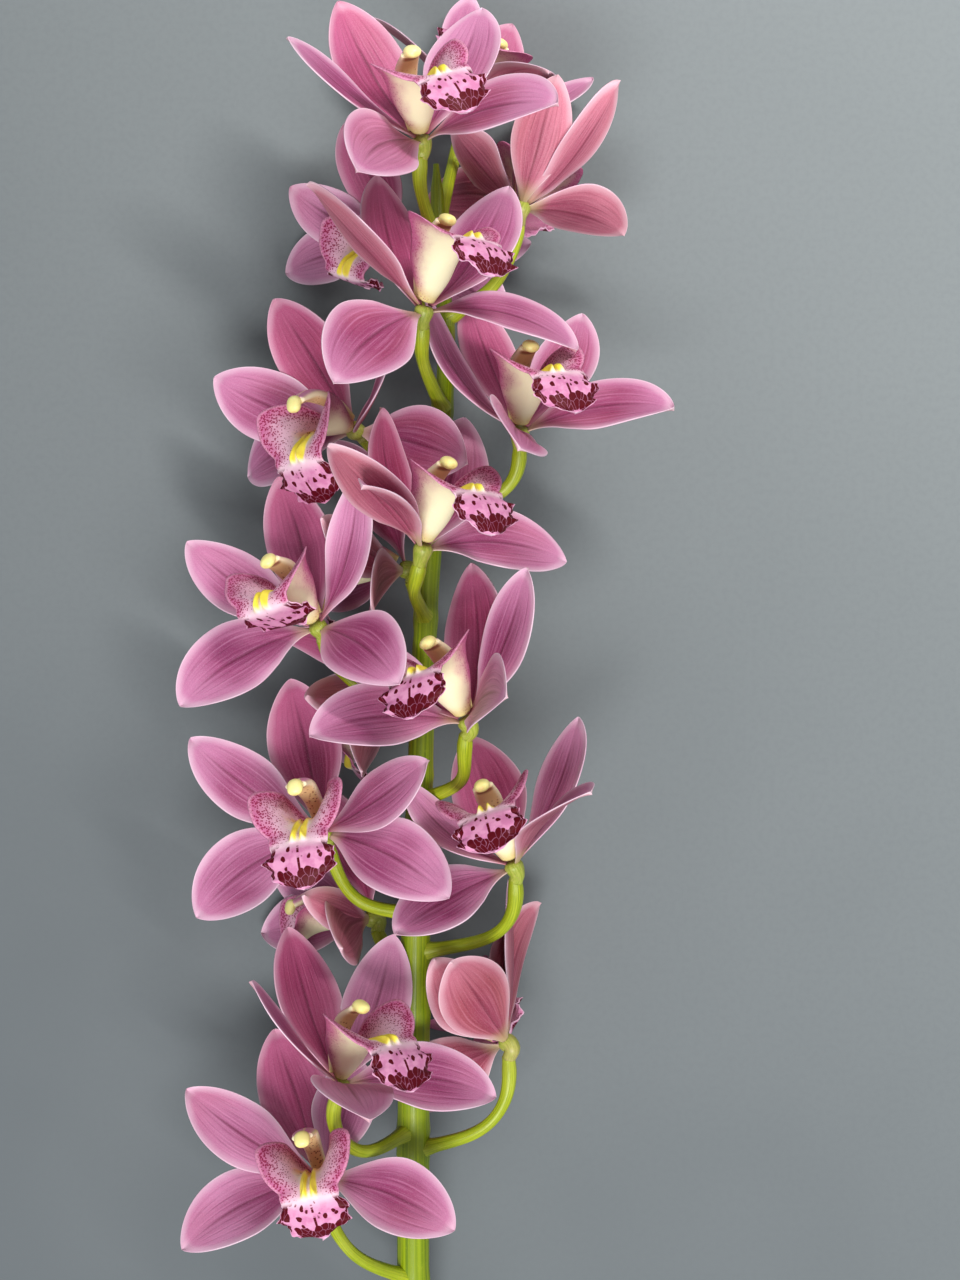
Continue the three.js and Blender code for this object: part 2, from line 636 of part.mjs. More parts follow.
const orchid = new THREE.Group();
orchid.add(toMesh('flower_stem', flowerStem(), COLOURS.green));
for (const bloom of BLOOMS) {
  orchid.add(toMesh(`${bloom.name}_tepals`, tepals(bloom), COLOURS.pink));
  orchid.add(toMesh(`${bloom.name}_lip`, lip(bloom), COLOURS.cream));
  orchid.add(toMesh(`${bloom.name}_column`, column(bloom), COLOURS.column));
}
orchid.position.set(ORIGIN.x, ORIGIN.y, ORIGIN.z);

export default orchid;
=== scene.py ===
"""Cut flower stem of a pink cymbidium orchid, lying on a pale surface.

Modelling units are millimetres in the frame of the stem's axis; every mesh is written in
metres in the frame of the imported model. Each bloom is drawn by the same formulas as its solids.
"""
import math
import bpy
import numpy as np
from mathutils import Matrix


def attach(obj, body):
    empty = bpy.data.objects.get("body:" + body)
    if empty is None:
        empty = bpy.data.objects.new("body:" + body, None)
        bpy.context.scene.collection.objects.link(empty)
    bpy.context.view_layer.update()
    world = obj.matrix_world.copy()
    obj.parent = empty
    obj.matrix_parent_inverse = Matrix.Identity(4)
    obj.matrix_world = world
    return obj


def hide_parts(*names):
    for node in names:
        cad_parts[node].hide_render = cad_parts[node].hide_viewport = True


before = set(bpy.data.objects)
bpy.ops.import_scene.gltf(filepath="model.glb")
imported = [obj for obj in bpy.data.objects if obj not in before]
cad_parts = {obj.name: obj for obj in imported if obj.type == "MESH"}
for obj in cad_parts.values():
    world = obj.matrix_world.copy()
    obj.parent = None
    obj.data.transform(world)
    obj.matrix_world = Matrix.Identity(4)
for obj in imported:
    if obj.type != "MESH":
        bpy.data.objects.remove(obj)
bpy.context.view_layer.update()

MM = 0.001
ORIGIN = np.array([20.4, 43.2, 51.6])         # the stem's axis above the surface
SEED = 7
RANDOM = np.random.default_rng(SEED)
FULL_TURN = 6.28                               # the reach of a random phase

# ---- driving dimensions, mm, as the solids have them --------------------------------------

STEM_ROUTE = [(-26.5, -345, -45.6), (-26.5, -300, -39.6), (-26.5, -245, -27), (-26, -190, -14),
              (-25, -120, -4), (-23, -50, 0), (-20, 20, 1), (-15, 75, 1), (-13, 115, 0),
              (-16, 160, -2), (-17, 184, -4)]
STEM_RADIUS = [6.4, 6.4, 6.3, 6.2, 5.9, 5.2, 4.7, 4.2, 3.8, 2.9, 2.5]
STALK_RADIUS = [2.9, 2.6, 2.7, 3.1]
OVARY_END = 6.0                                # the stalk ends this far behind the bloom's middle
HUB_BEND, HUB_FRONT = 3.2, 2.2                 # the receptacle behind and before that middle
HUB_RADIUS, HUB_SWELL = 2.7, 1.0
HUB_SLOT = 5                                   # its place among the materials of the tepals

# angles in degrees; set is how far a kind of tepal stands before the bloom's middle
KINDS = {
    "dorsal": dict(length=64, width=29, lean=35, curl=12, sweep=0, cup=0.16, set=-0.6),
    "petal": dict(length=63, width=26, lean=35, curl=0, sweep=-24, cup=0.1, set=0.8),
    "lateral": dict(length=61, width=30, lean=-8, curl=-35, sweep=20, cup=0.16, set=-0.6),
}
# shares of a tepal's length: where it is widest, and where it has turned in full; then its
# width at the base as a share of its full width
WIDEST, TURNED, NECK = 0.55, 0.3, 0.06

LIP_HINGE = 4                                  # the station about which a lip tucks
# forward, down, half width, rise, wrap in degrees, flare
LIP_STATIONS = np.array([
    (3.9, 1.5, 3.3, 3, 100, 0), (12, 5.2, 7.2, 10.8, 108, 0.3), (21, 8.9, 7.9, 14, 100, 2),
    (26, 13, 9, 12.4, 88, 5.4), (30, 18.5, 9.8, 5, 80, 4.2), (31.3, 24, 11, -1, 70, 0),
    (29.6, 29.2, 13.2, -2.5, 70, 0), (25.8, 34.2, 11.5, -2.5, 70, 0), (21, 38, 6, -1, 70, 0)])
# forward, up, half width, half depth
COLUMN_STATIONS = np.array([
    (4, 3.6, 3.1, 2.2), (13.5, 7, 3.6, 2.4), (26, 5.6, 4.8, 2.3), (34, 0.4, 4, 1.7)])
CAP = dict(forward=35, up=-1, radius=3.3, flat=0.8)
CAP_INSET = 0.2                                # how far the cap sinks into the column


def tepal(azimuth, lean, **changes):
    return dict(azimuth=azimuth, lean=lean, **changes)


def bloom(name, at, tilt, clock, roll, size, tuck, joint, way, enter, *five):
    """One bloom: its middle, how it faces, its scale, its stalk, and its five tepals."""
    lean, around, turn = (math.radians(angle) for angle in (tilt, clock, roll))
    flat = np.array([math.cos(around), math.sin(around), 0])
    face = math.sin(lean) * flat + (0, 0, math.cos(lean))
    away = math.cos(lean) * flat - (0, 0, math.sin(lean))
    up = away * math.cos(turn) + np.cross(face, away) * math.sin(turn)
    kinds = ("dorsal", "petal", "petal", "lateral", "lateral")
    mirrors = (1, -1, 1, -1, 1)
    return dict(name=name, at=np.array(at, float), face=face, up=up, side=np.cross(up, face),
                size=size, tuck=tuck, joint=joint, way=way, enter=unit(np.array(enter, float)),
                tepals=list(zip(kinds, mirrors, five)))


def unit(vector):
    return vector / np.linalg.norm(vector, axis=-1, keepdims=True)


BLOOMS = [
    bloom("01", (-5, 206, -22.5), 80, 64, -25, 0.9, 0, 160, [], (0.3, 0.9, 0.1),
          tepal(-30, 50, curl=40), tepal(-62, 52, curl=30), tepal(34, 40, curl=40),
          tepal(-118, 20), tepal(122, 32)),
    bloom("02", (-21.6, 185.3, 30), 58, 97, 28, 1, 0, 148, [], (0.1, 0.9, 0.4),
          tepal(-8, 48, width=31, curl=36), tepal(-62, 46, curl=20), tepal(61, 32, width=29),
          tepal(-128, 12, turn=-45), tepal(146, 18, turn=18, width=33)),
    bloom("03", (15.7, 165, 5), 127, 72, 180, 0.97, 60, 124, [(6, 136, 2), (11, 146, 3)],
          (0.15, 0.95, 0.1),
          tepal(2, 32, width=23, curl=34, factor=0.86), tepal(-24, 36, width=20, curl=34, turn=35),
          tepal(86, 38, factor=0.75),
          tepal(-108, 25, factor=0.82), tepal(132, 25, turn=50, width=25)),
    bloom("04", (-33, 155, -28.5), 33, 158, -88, 0.86, 60, 118, [(-24, 134, -18)], (-0.4, 0.8, 0.3),
          tepal(-25, 44, curl=30), tepal(-78, 35, factor=0.9), tepal(62, -32),
          tepal(-114, 4), tepal(104, -27)),
    bloom("05", (-20.7, 121.4, 35), 77, 76, 37, 1, 0, 88, [(-21, 103, 20)], (0.1, 0.9, 0.4),
          tepal(-6, 44, curl=40), tepal(-60, 34, turn=25), tepal(66, 54, width=29, curl=36),
          tepal(-119, -26, width=33, turn=-25), tepal(122, 0, curl=-50, turn=20)),
    bloom("06", (-47.9, 80, 5), 41, 158, -64, 1, 20, 60, [(-30, 64, 6)], (-0.6, 0.5, 0.5),
          tepal(-22, 28, factor=0.95), tepal(-64, 24, width=28),
          tepal(80, 35, factor=0.8, turn=-25),
          tepal(-95, -3), tepal(112, -18, factor=0.8, curl=0)),
    bloom("07", (15.2, 78.8, 10), 66, 84, 30, 1, 0, 46, [(10, 57, 4)], (0, 0.95, 0.3),
          tepal(-1, 38, width=24), tepal(-48, 48, width=24, curl=50), tepal(52, 34, curl=20),
          tepal(-150, 14, turn=-40), tepal(125, 18, turn=20)),
    bloom("08", (-21.1, 33.3, 35), 72, 74, 39, 1, 0, 8, [(-25, 18, 20)], (0.2, 0.8, 0.4),
          tepal(-19, 52, width=24, curl=50, factor=0.9), tepal(-88, 35, turn=40),
          tepal(38, 42, width=29, curl=40),
          tepal(-112, 30, width=20), tepal(102, 4, turn=30)),
    bloom("09", (-29.6, 27.6, -22), 85, 173, -90, 0.92, 0, -4, [(-24, 8, -14)], (-0.4, 0.8, -0.1),
          tepal(0, 36, curl=36, turn=45), tepal(-70, 46, curl=16, factor=0.82),
          tepal(72, 38, width=23),
          tepal(-118, 44, curl=-10, factor=0.84), tepal(110, 14)),
    bloom("10", (-61.3, 4.5, 15), 62, 124, -30, 1, 90, -24, [(-42, -21, 5)], (-0.3, 0.8, 0.4),
          tepal(-5, 44, curl=30), tepal(-61, 43, curl=22),
          tepal(61, 44, width=20, curl=30, turn=40),
          tepal(-125, 8, turn=-40), tepal(135, -8)),
    bloom("11", (-31.6, -19.8, -22.5), 84, 203, -90, 0.92, 0, -52, [(-25, -40, -14)],
          (-0.4, 0.8, -0.1),
          tepal(25, 41, curl=50, turn=45), tepal(-70, 46, curl=16, factor=0.82),
          tepal(75, 38, width=24),
          tepal(-118, 44, curl=-10, factor=0.84), tepal(118, 32)),
    bloom("12", (-4.8, -30.9, 30), 74, 115, -25, 1, 0, -62, [(-6, -53, 16)], (0.1, 0.9, 0.4),
          tepal(16, 50, curl=40), tepal(-65, 40), tepal(67, 45, curl=20, turn=30),
          tepal(-123, 24, turn=-40), tepal(137, 20, turn=40)),
    bloom("13", (-59.4, -73.5, 10), 39, 114, -16, 1, -10, -106, [(-48, -100, 3)], (-0.2, 0.8, 0.5),
          tepal(-6, 20), tepal(-52, 28), tepal(80, 24, factor=0.85),
          tepal(-110, -10, turn=-20), tepal(128, -2)),
    bloom("14", (12.8, -85.5, 20), 76, 111, -5, 1, 0, -121, [(8, -112, 8)], (-0.1, 0.9, 0.3),
          tepal(-4, 40, curl=24), tepal(-66, 54, curl=50, factor=0.85, width=22),
          tepal(56, 38, curl=24),
          tepal(-106, -4, factor=0.85, curl=-10, turn=-30), tepal(130, 30)),
    bloom("15", (-43, -110, -22), 75, 168, -90, 0.94, 0, -146, [(-32, -130, -14)],
          (-0.4, 0.8, -0.1),
          tepal(0, 36, curl=36, turn=45), tepal(-70, 46, curl=16, factor=0.9),
          tepal(74, 48, width=18, curl=30, factor=0.8),
          tepal(-118, 44, curl=-10, factor=0.9), tepal(100, 25, factor=0.85, turn=40)),
    bloom("16", (10.5, -156, -5), 128, 140, 180, 1, 80, -200, [(4, -188, -4), (12, -174, -5)],
          (-0.1, 0.95, -0.1),
          tepal(-14, 4), tepal(-67, 33, turn=40), tepal(-12, 25, factor=0.8, curl=20, width=25),
          tepal(-97, 36), tepal(114, 25, turn=50)),
    bloom("17", (-52.4, -166.6, 25), 70, 76, 44, 1, 0, -191, [(-46, -196, 10), (-56, -184, 18)],
          (0.3, 0.9, 0.4),
          tepal(-2, 42, curl=24), tepal(-72, 45, curl=20), tepal(50, 47, curl=50),
          tepal(-150, 22), tepal(122, 4, turn=25)),
    bloom("18", (-60.2, -204.8, 10), 40, 105, -4, 0.98, 30, -254, [(-50, -238, -6)], (0, 0.8, 0.5),
          tepal(-10, 14), tepal(-53, 27), tepal(22, 10, factor=0.8),
          tepal(-110, 5), tepal(121, -8, factor=0.94)),
]

# ---- curves and sheets --------------------------------------------------------------------

CURVE_STEPS = 40                               # between two points of a curve


def smooth_path(points, count):
    """Evenly spaced points of a centripetal Catmull-Rom curve through all the points."""
    points = [np.array(point, float) for point in points]
    points = [2 * points[0] - points[1]] + points + [2 * points[-1] - points[-2]]
    dense = []
    for p0, p1, p2, p3 in zip(points, points[1:], points[2:], points[3:]):
        t0 = 0.0
        t1 = t0 + math.sqrt(np.linalg.norm(p1 - p0))
        t2 = t1 + math.sqrt(np.linalg.norm(p2 - p1))
        t3 = t2 + math.sqrt(np.linalg.norm(p3 - p2))
        for t in np.linspace(t1, t2, CURVE_STEPS, endpoint=False):
            a1 = (t1 - t) / (t1 - t0) * p0 + (t - t0) / (t1 - t0) * p1
            a2 = (t2 - t) / (t2 - t1) * p1 + (t - t1) / (t2 - t1) * p2
            a3 = (t3 - t) / (t3 - t2) * p2 + (t - t2) / (t3 - t2) * p3
            b1 = (t2 - t) / (t2 - t0) * a1 + (t - t0) / (t2 - t0) * a2
            b2 = (t3 - t) / (t3 - t1) * a2 + (t - t1) / (t3 - t1) * a3
            dense.append((t2 - t) / (t2 - t1) * b1 + (t - t1) / (t2 - t1) * b2)
    dense.append(points[-2])
    dense = np.array(dense)
    length = np.concatenate([[0], np.cumsum(np.linalg.norm(np.diff(dense, axis=0), axis=1))])
    shares = np.linspace(0, length[-1], count)
    return np.stack([np.interp(shares, length, dense[:, axis]) for axis in range(3)], axis=1)


def eased(table, places):
    """Smooth reading of a table of stations at fractional places, through every station."""
    table = np.asarray(table, float)
    table = table.reshape(len(table), -1)
    slopes = np.gradient(table, axis=0)
    index = np.clip(np.floor(places).astype(int), 0, len(table) - 2)
    t = (np.asarray(places) - index)[:, None]
    return ((2 * t ** 3 - 3 * t ** 2 + 1) * table[index] + (t ** 3 - 2 * t ** 2 + t) * slopes[index]
            + (3 * t ** 2 - 2 * t ** 3) * table[index + 1] + (t ** 3 - t ** 2) * slopes[index + 1])


def ramp(value, low, high):
    """A smooth rise from 0 at low to 1 at high."""
    t = np.clip((value - low) / (high - low), 0, 1)
    return t * t * (3 - 2 * t)


def sheet(front, back, shares, slots):
    """A thin closed body between two grids of points. shares holds three numbers for each
    point: its place across, its place along, and how far it is from the rim in mm."""
    rows, columns = front.shape[:2]
    count = rows * columns
    points = np.concatenate([front.reshape(-1, 3), back.reshape(-1, 3)])
    index = np.arange(count).reshape(rows, columns)
    a, b, c, d = index[:-1, :-1], index[:-1, 1:], index[1:, 1:], index[1:, :-1]
    top = np.stack([a, b, c, d], axis=-1).reshape(-1, 4)
    under = top[:, ::-1] + count
    ring = np.concatenate([index[0, ::-1], index[1:, 0], index[-1, 1:], index[-2:0:-1, -1]])
    follow = np.roll(ring, -1)
    rim = np.stack([ring, follow, follow + count, ring + count], axis=-1)
    faces = np.concatenate([top, under, rim])
    slot = np.repeat(slots, [len(top), len(under), len(rim)])
    return dict(points=points, faces=faces, shares=np.concatenate([shares.reshape(-1, 3)] * 2),
                slot=slot, smooth=np.ones(len(slot), bool))


def hose(centres, radii, sides, slot, ridges=0, ridge=0.0, spare=(0, 0, 1), cut_slot=None):
    """A closed tube round a path. radii may hold two columns: along the spare direction and
    across it. With a cut_slot its first end is a flat cut face of that material."""
    centres = np.asarray(centres, float)
    tangents = unit(np.gradient(centres, axis=0))
    normal = np.array(spare, float)
    angles = np.linspace(0, 2 * math.pi, sides, endpoint=False)
    points, shares = [], []
    radii = np.asarray(radii, float)
    radii = np.stack([radii, radii], axis=-1) if radii.ndim == 1 else radii
    for row, (centre, tangent) in enumerate(zip(centres, tangents)):
        normal = unit(normal - tangent * np.dot(normal, tangent))
        across = np.cross(tangent, normal)
        swell = 1 + ridge * np.cos(ridges * angles) if ridges else np.ones(sides)
        points.append(centre + (radii[row, 0] * swell * np.cos(angles))[:, None] * normal
                      + (radii[row, 1] * swell * np.sin(angles))[:, None] * across)
        share = row / (len(centres) - 1)
        shares.append(np.stack([angles / (2 * math.pi), np.full(sides, share), np.ones(sides)],
                               axis=-1))
    rows = len(centres)
    index = np.arange(rows * sides).reshape(rows, sides)
    follow = np.roll(index, -1, axis=1)
    faces = np.stack([index[:-1], follow[:-1], follow[1:], index[1:]], axis=-1).reshape(-1, 4)
    points = np.concatenate(points + [centres[:1], centres[-1:]])
    ends = np.array([[0.5, 0.0, 1.0 + radii[0, 0]], [0.5, 1.0, 1.0]])
    shares = np.concatenate(shares + [ends])
    first, last = rows * sides, rows * sides + 1
    caps = [(follow[0, side], index[0, side], first) for side in range(sides)]
    caps += [(index[-1, side], follow[-1, side], last) for side in range(sides)]
    slots = np.full(len(faces) + len(caps), slot)
    smooth = np.ones(len(slots), bool)
    if cut_slot is not None:
        slots[len(faces):len(faces) + sides] = cut_slot
        smooth[len(faces):len(faces) + sides] = False
    return dict(points=points, faces=faces, caps=caps, shares=shares, slot=slots, smooth=smooth)


RIM_UNIT = 20.0                                # mm from a rim that the layer "rim" counts as one


def make_piece(name, parts, materials, node):
    """One object from several bodies; it stands for one solid of the frame."""
    points, faces, shares, slots, smooth, start = [], [], [], [], [], 0
    for part in parts:
        points.append(part["points"])
        shares.append(part["shares"])
        faces += [tuple(int(value) + start for value in face) for face in part["faces"]]
        faces += [tuple(int(value) + start for value in face) for face in part.get("caps", [])]
        slots.append(part["slot"])
        smooth.append(part["smooth"])
        start += len(part["points"])
    points = (np.concatenate(points) + ORIGIN) * MM
    mesh = bpy.data.meshes.new(name)
    mesh.from_pydata(points.tolist(), [], faces)
    for material in materials:
        mesh.materials.append(material)
    mesh.polygons.foreach_set("material_index", np.concatenate(slots).astype(np.int32))
    mesh.polygons.foreach_set("use_smooth", np.concatenate(smooth))
    corners = np.empty(len(mesh.loops), np.int32)
    mesh.loops.foreach_get("vertex_index", corners)
    values = np.concatenate(shares)[corners].astype(np.float32)
    mesh.uv_layers.new(name="place").data.foreach_set("uv", values[:, :2].ravel())
    rim = np.stack([values[:, 2] / RIM_UNIT, values[:, 1]], axis=-1)
    mesh.uv_layers.new(name="rim").data.foreach_set("uv", rim.ravel())
    mesh.update()
    piece = bpy.data.objects.new(name, mesh)
    bpy.context.scene.collection.objects.link(piece)
    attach(piece, "root")
    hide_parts(node)
    return piece


# ---- a bloom ------------------------------------------------------------------------------

# rows start where a tepal leaves the receptacle and lie closer together near its tip
TEPAL_START, TEPAL_TIP = 0.05, 0.8
TEPAL_ROWS = np.concatenate([np.linspace(TEPAL_START, TEPAL_TIP, 26, endpoint=False),
                             1 - 0.2 * np.linspace(1, 0, 14) ** 1.6])
TEPAL_ACROSS = np.sin(np.linspace(-1, 1, 19) * math.pi / 2)
TEPAL_SLICES = 24                              # steps in which its curve is summed
LEAST_HALF = 0.12                              # half its width at the very tip
FULL_RISE, FULL_FALL = 1.7, 0.74               # how full its outline is on both sides of WIDEST
RIPPLE = 0.012                                 # of its outline, as a share of its width
MIDRIB_DEPTH, MIDRIB_REACH = 0.5, 0.07
FURROW = 0.16
TIP_DIP = 1.1
BLADE_HALF, EDGE_LOSS, TIP_LOSS = 0.55, 0.33, 0.45   # half its thickness, and how it thins


def tepal_outline(along):
    """The width at a share of the length, as a share of the full width."""
    rise = np.sin(math.pi / 2 * np.clip(along / WIDEST, 0, 1)) ** FULL_RISE
    rising = NECK + (1 - NECK) * rise
    past = np.clip((along - WIDEST) / (1 - WIDEST), 0, 1)
    falling = np.maximum(0, 1 - past ** 2) ** FULL_FALL
    return np.where(along < WIDEST, rising, falling)


def tepal_sheet(b, kind, mirror, changes, slots):
    """One petal or sepal, which curls and sweeps as it leaves the bloom's middle."""
    shape = dict(KINDS[kind], turn=0, factor=1)
    shape.update(changes)
    length = shape["length"] * shape["factor"] * b["size"]
    centre = b["at"] + b["face"] * shape["set"] * b["size"]
    azimuth = changes["azimuth"]
    phase, wave = RANDOM.uniform(0, FULL_TURN), RANDOM.uniform(0.35, 0.8)
    front, back, shares = [], [], []
    us = TEPAL_ACROSS
    middle = 1 - np.abs(us)
    for along in TEPAL_ROWS:
        share = along * (np.arange(TEPAL_SLICES) + 0.5) / TEPAL_SLICES
        share = np.append(share, along)
        angle = np.radians(shape["lean"] + shape["curl"] * (share - 0.5))
        around = np.radians(azimuth + shape["sweep"] * mirror * (share - 0.5))
        outward = np.cos(around)[:, None] * b["up"] + np.sin(around)[:, None] * b["side"]
        steps = np.cos(angle)[:, None] * outward + np.sin(angle)[:, None] * b["face"]
        point = centre + steps[:-1].sum(axis=0) * length * along / TEPAL_SLICES
        sideways = np.cross(b["face"], outward[-1])
        inner = -math.sin(angle[-1]) * outward[-1] + math.cos(angle[-1]) * b["face"]
        turn = math.radians(shape["turn"] * min(1, along / TURNED))
        across = sideways * math.cos(turn) + inner * math.sin(turn)
        inner = inner * math.cos(turn) - sideways * math.sin(turn)
        half = max(LEAST_HALF, shape["width"] * b["size"] * float(tepal_outline(along)) / 2)
        ripple = 1 + RIPPLE * np.sin(11 * along + phase + 2 * us)
        row = point - (across[None] * (half * ripple * us)[:, None])
        # a cupped blade with a wavy margin, a sunken midrib, faint furrows and a bent tip
        lift = shape["cup"] * half * us ** 2
        waved = float(ramp(along, 0.2, 0.5))
        lift = lift + wave * np.abs(us) ** 3 * math.sin(7.5 * along + phase) * waved
        ribbed = float(ramp(along, 0, 0.3) * (1 - ramp(along, 0.75, 1)))
        lift = lift - MIDRIB_DEPTH * np.exp(-(us / MIDRIB_REACH) ** 2) * ribbed
        furrowed = float(ramp(along, 0.1, 0.4) * (1 - ramp(along, 0.7, 1)))
        lift = lift + FURROW * np.cos(us * 20) * middle * furrowed
        lift = lift - TIP_DIP * float(ramp(along, 0.9, 1.0)) * middle
        row = row + inner[None] * lift[:, None]
        normal = unit(inner[None] + across[None] * (2 * shape["cup"] * us)[:, None])
        thinned = 1 - TIP_LOSS * float(ramp(along, TEPAL_TIP, 1))
        thick = (BLADE_HALF - EDGE_LOSS * np.abs(us) ** 2) * thinned
        front.append(row + normal * thick[:, None])
        back.append(row - normal * thick[:, None])
        rim = np.minimum(middle * half, (1 - along) * length * 0.8)
        shares.append(np.stack([(us + 1) / 2, np.full(len(us), along), rim], axis=-1))
    return sheet(np.array(front), np.array(back), np.array(shares), slots)


def bloom_points(b, forward, up, side):
    """Points given along the bloom's own three directions."""
    return (b["at"] + np.asarray(forward)[..., None] * b["face"] * b["size"]
            + np.asarray(up)[..., None] * b["up"] * b["size"]
            + np.asarray(side)[..., None] * b["side"] * b["size"])


def receptacle(b):
    """The swelling between the ovary and the tepals."""
    neck = b["at"] - b["enter"] * OVARY_END
    bend = b["at"] - b["face"] * HUB_BEND * b["size"]
    centres = smooth_path([neck, bend, b["at"] + b["face"] * HUB_FRONT * b["size"]], 12)
    share = np.linspace(0, 1, 12)
    radii = HUB_RADIUS + HUB_SWELL * ramp(share, 0.1, 0.8) - HUB_SWELL * ramp(share, 0.85, 1)
    return hose(centres, radii, 20, HUB_SLOT, spare=b["up"])


# Places along a lip count its stations: side lobes up to 4, the midlobe from 5, its tip at 8.
LIP_LAST = 8
LIP_ROWS = np.linspace(0, LIP_LAST, 97)
LIP_ACROSS = np.concatenate([np.linspace(-1, -0.3, 16, endpoint=False),
                             np.linspace(-0.3, 0.3, 17), np.linspace(0.3, 1, 17)[1:]])
WAIST, WAIST_PLACE, WAIST_REACH = 0.27, 4.2, 0.42    # the notch between side lobe and midlobe
CREST, CREST_PLACE, CREST_REACH = 0.12, 2.6, 0.6     # the top of the side lobes
LIP_ROUND, LIP_ROUND_REACH = 6.6, 1.4                # where the midlobe's end rounds off
LOBE_ROLL = 2.0                                      # how far the side lobes roll outward
FRILL, FINE_FRILL, MARGIN_BACK = 1.5, 0.5, 0.7
KEEL, KEEL_PLACE, KEEL_REACH = 2.3, 0.13, 0.075      # its height, its place across, its reach
LIP_HALF, LIP_EDGE_LOSS = 0.5, 0.25                  # half its thickness, and how it thins
LIP_ROW_LENGTH = 4.6                                 # from one station to the next, about
LEAST_WRAP = 1.3


def lip_stations(tuck):
    """The stations of a lip whose midlobe is turned under by an angle."""
    stations = LIP_STATIONS.copy()
    hinge = LIP_STATIONS[LIP_HINGE]
    for index, station in enumerate(LIP_STATIONS):
        angle = math.radians(tuck * min(max((index - LIP_HINGE) / 2, 0), 1))
        forward, down = station[0] - hinge[0], station[1] - hinge[1]
        stations[index, 0] = hinge[0] + forward * math.cos(angle) - down * math.sin(angle)
        stations[index, 1] = hinge[1] + down * math.cos(angle) + forward * math.sin(angle)
    return stations


def lip_sheet(b):
    """The lip: a trough with two raised side lobes, two keels and a frilled midlobe."""
    table = eased(lip_stations(b["tuck"]), LIP_ROWS)
    slope = unit(np.gradient(table[:, :2], axis=0))
    phase = RANDOM.uniform(0, FULL_TURN)
    front, back, shares = [], [], []
    edge = np.abs(LIP_ACROSS)
    for place, station, (ahead, below) in zip(LIP_ROWS, table, slope):
        forward, down, half, rise, wrap, flare = station
        waist = 1 - WAIST * math.exp(-((place - WAIST_PLACE) / WAIST_REACH) ** 2)
        crest = 1 + CREST * math.exp(-((place - CREST_PLACE) / CREST_REACH) ** 2)
        lobe = float(ramp(place, 4.6, 5.6))
        past = max(0.0, place - LIP_ROUND)
        end = math.sqrt(max(0.0, 1 - past ** 2 / LIP_ROUND_REACH ** 2))
        scallop = 1 + 0.05 * lobe * math.sin(9 * place + phase)
        reach = waist * crest * (0.04 + 0.96 * end) * scallop
        us = LIP_ACROSS * reach
        wrap = math.radians(wrap)
        angle = wrap * us
        wide = half / math.sin(min(wrap, math.pi / 2))
        side = wide * np.sin(angle) + flare * us ** 3
        lift = rise * (1 - np.cos(angle)) / (1 - math.cos(wrap))
        # the margins of the side lobes roll outward
        rolled = float(ramp(place, 1.5, 2.6) * (1 - ramp(place, 3.9, 4.8)))
        roll = LOBE_ROLL * rolled * ramp(edge, 0.55, 1.0)
        side = side + np.sign(us) * roll
        lift = lift - 0.4 * roll
        slope_side = wide * np.cos(angle) + 3 * flare * us * us / wrap
        slope_rise = rise * np.sin(angle) / (1 - math.cos(wrap))
        points = bloom_points(b, forward + lift * below, -down + lift * ahead, side)
        normal = unit(-slope_rise[:, None] * b["side"] + (slope_side * below)[:, None] * b["face"]
                      + (slope_side * ahead)[:, None] * b["up"])
        frill = FRILL * lobe * edge ** 3 * np.sin(5.2 * place + phase + np.sign(LIP_ACROSS))
        frill = frill + FINE_FRILL * lobe * edge ** 4 * np.sin(17 * place + 2 * phase)
        margin = MARGIN_BACK * edge ** 8 * (1 - lobe) * float(ramp(place, 1.5, 2.5))
        points = points + normal * (frill - margin)[:, None]
        keel = KEEL * float(ramp(place, 1.4, 2.4) * (1 - ramp(place, 4.5, 5.0)))
        keel = keel * (0.75 + 0.45 * float(ramp(place, 3.3, 4.4)))
        ridge = keel * np.exp(-((edge - KEEL_PLACE - 0.02 * place / 4) / KEEL_REACH) ** 2)
        thick = LIP_HALF - LIP_EDGE_LOSS * edge ** 2
        front.append(points + normal * (thick + ridge)[:, None])
        back.append(points - normal * thick[:, None])
        from_rim = (1 - edge) * reach * wide * max(wrap, LEAST_WRAP)
        from_rim = np.minimum(from_rim, (LIP_LAST - place) * LIP_ROW_LENGTH) * b["size"]
        shares.append(np.stack([(us + 1) / 2, np.full(len(us), place / LIP_LAST), from_rim],
                               axis=-1))
    front, back = np.array(front)[:, ::-1], np.array(back)[:, ::-1]
    return sheet(front, back, np.array(shares)[:, ::-1], (0, 1, 0))


def column_parts(b):
    """The arched column, and the anther cap on its tip."""
    places = np.linspace(0, len(COLUMN_STATIONS) - 1, 34)
    table = eased(COLUMN_STATIONS, places)
    centres = bloom_points(b, table[:, 0], table[:, 1], np.zeros(len(table)))
    radii = np.stack([table[:, 3], table[:, 2]], axis=-1) * b["size"]
    body = hose(centres, radii, 24, 0, spare=b["up"])
    cap = CAP["radius"] * b["size"]
    middle = bloom_points(b, CAP["forward"] - CAP_INSET, CAP["up"], 0.0)
    shares = np.linspace(0, math.pi, 15)
    path = middle - np.cos(shares)[:, None] * b["up"] * cap
    width = np.sin(shares) * cap * (1 + 0.12 * np.cos(2 * shares)) + 0.02
    knob = hose(path, np.stack([width * CAP["flat"], width], axis=-1), 20, 1, ridges=2,
                ridge=-0.06, spare=b["face"])
    return [body, knob]


OVARY_LENGTH = 9                               # the straight end of a stalk
STALK_PASSES = 50                              # of the averaging that rounds a stalk's bends
NODE_SWELL, WAIST_LOSS, NECK_LOSS = 0.9, 0.3, 0.5


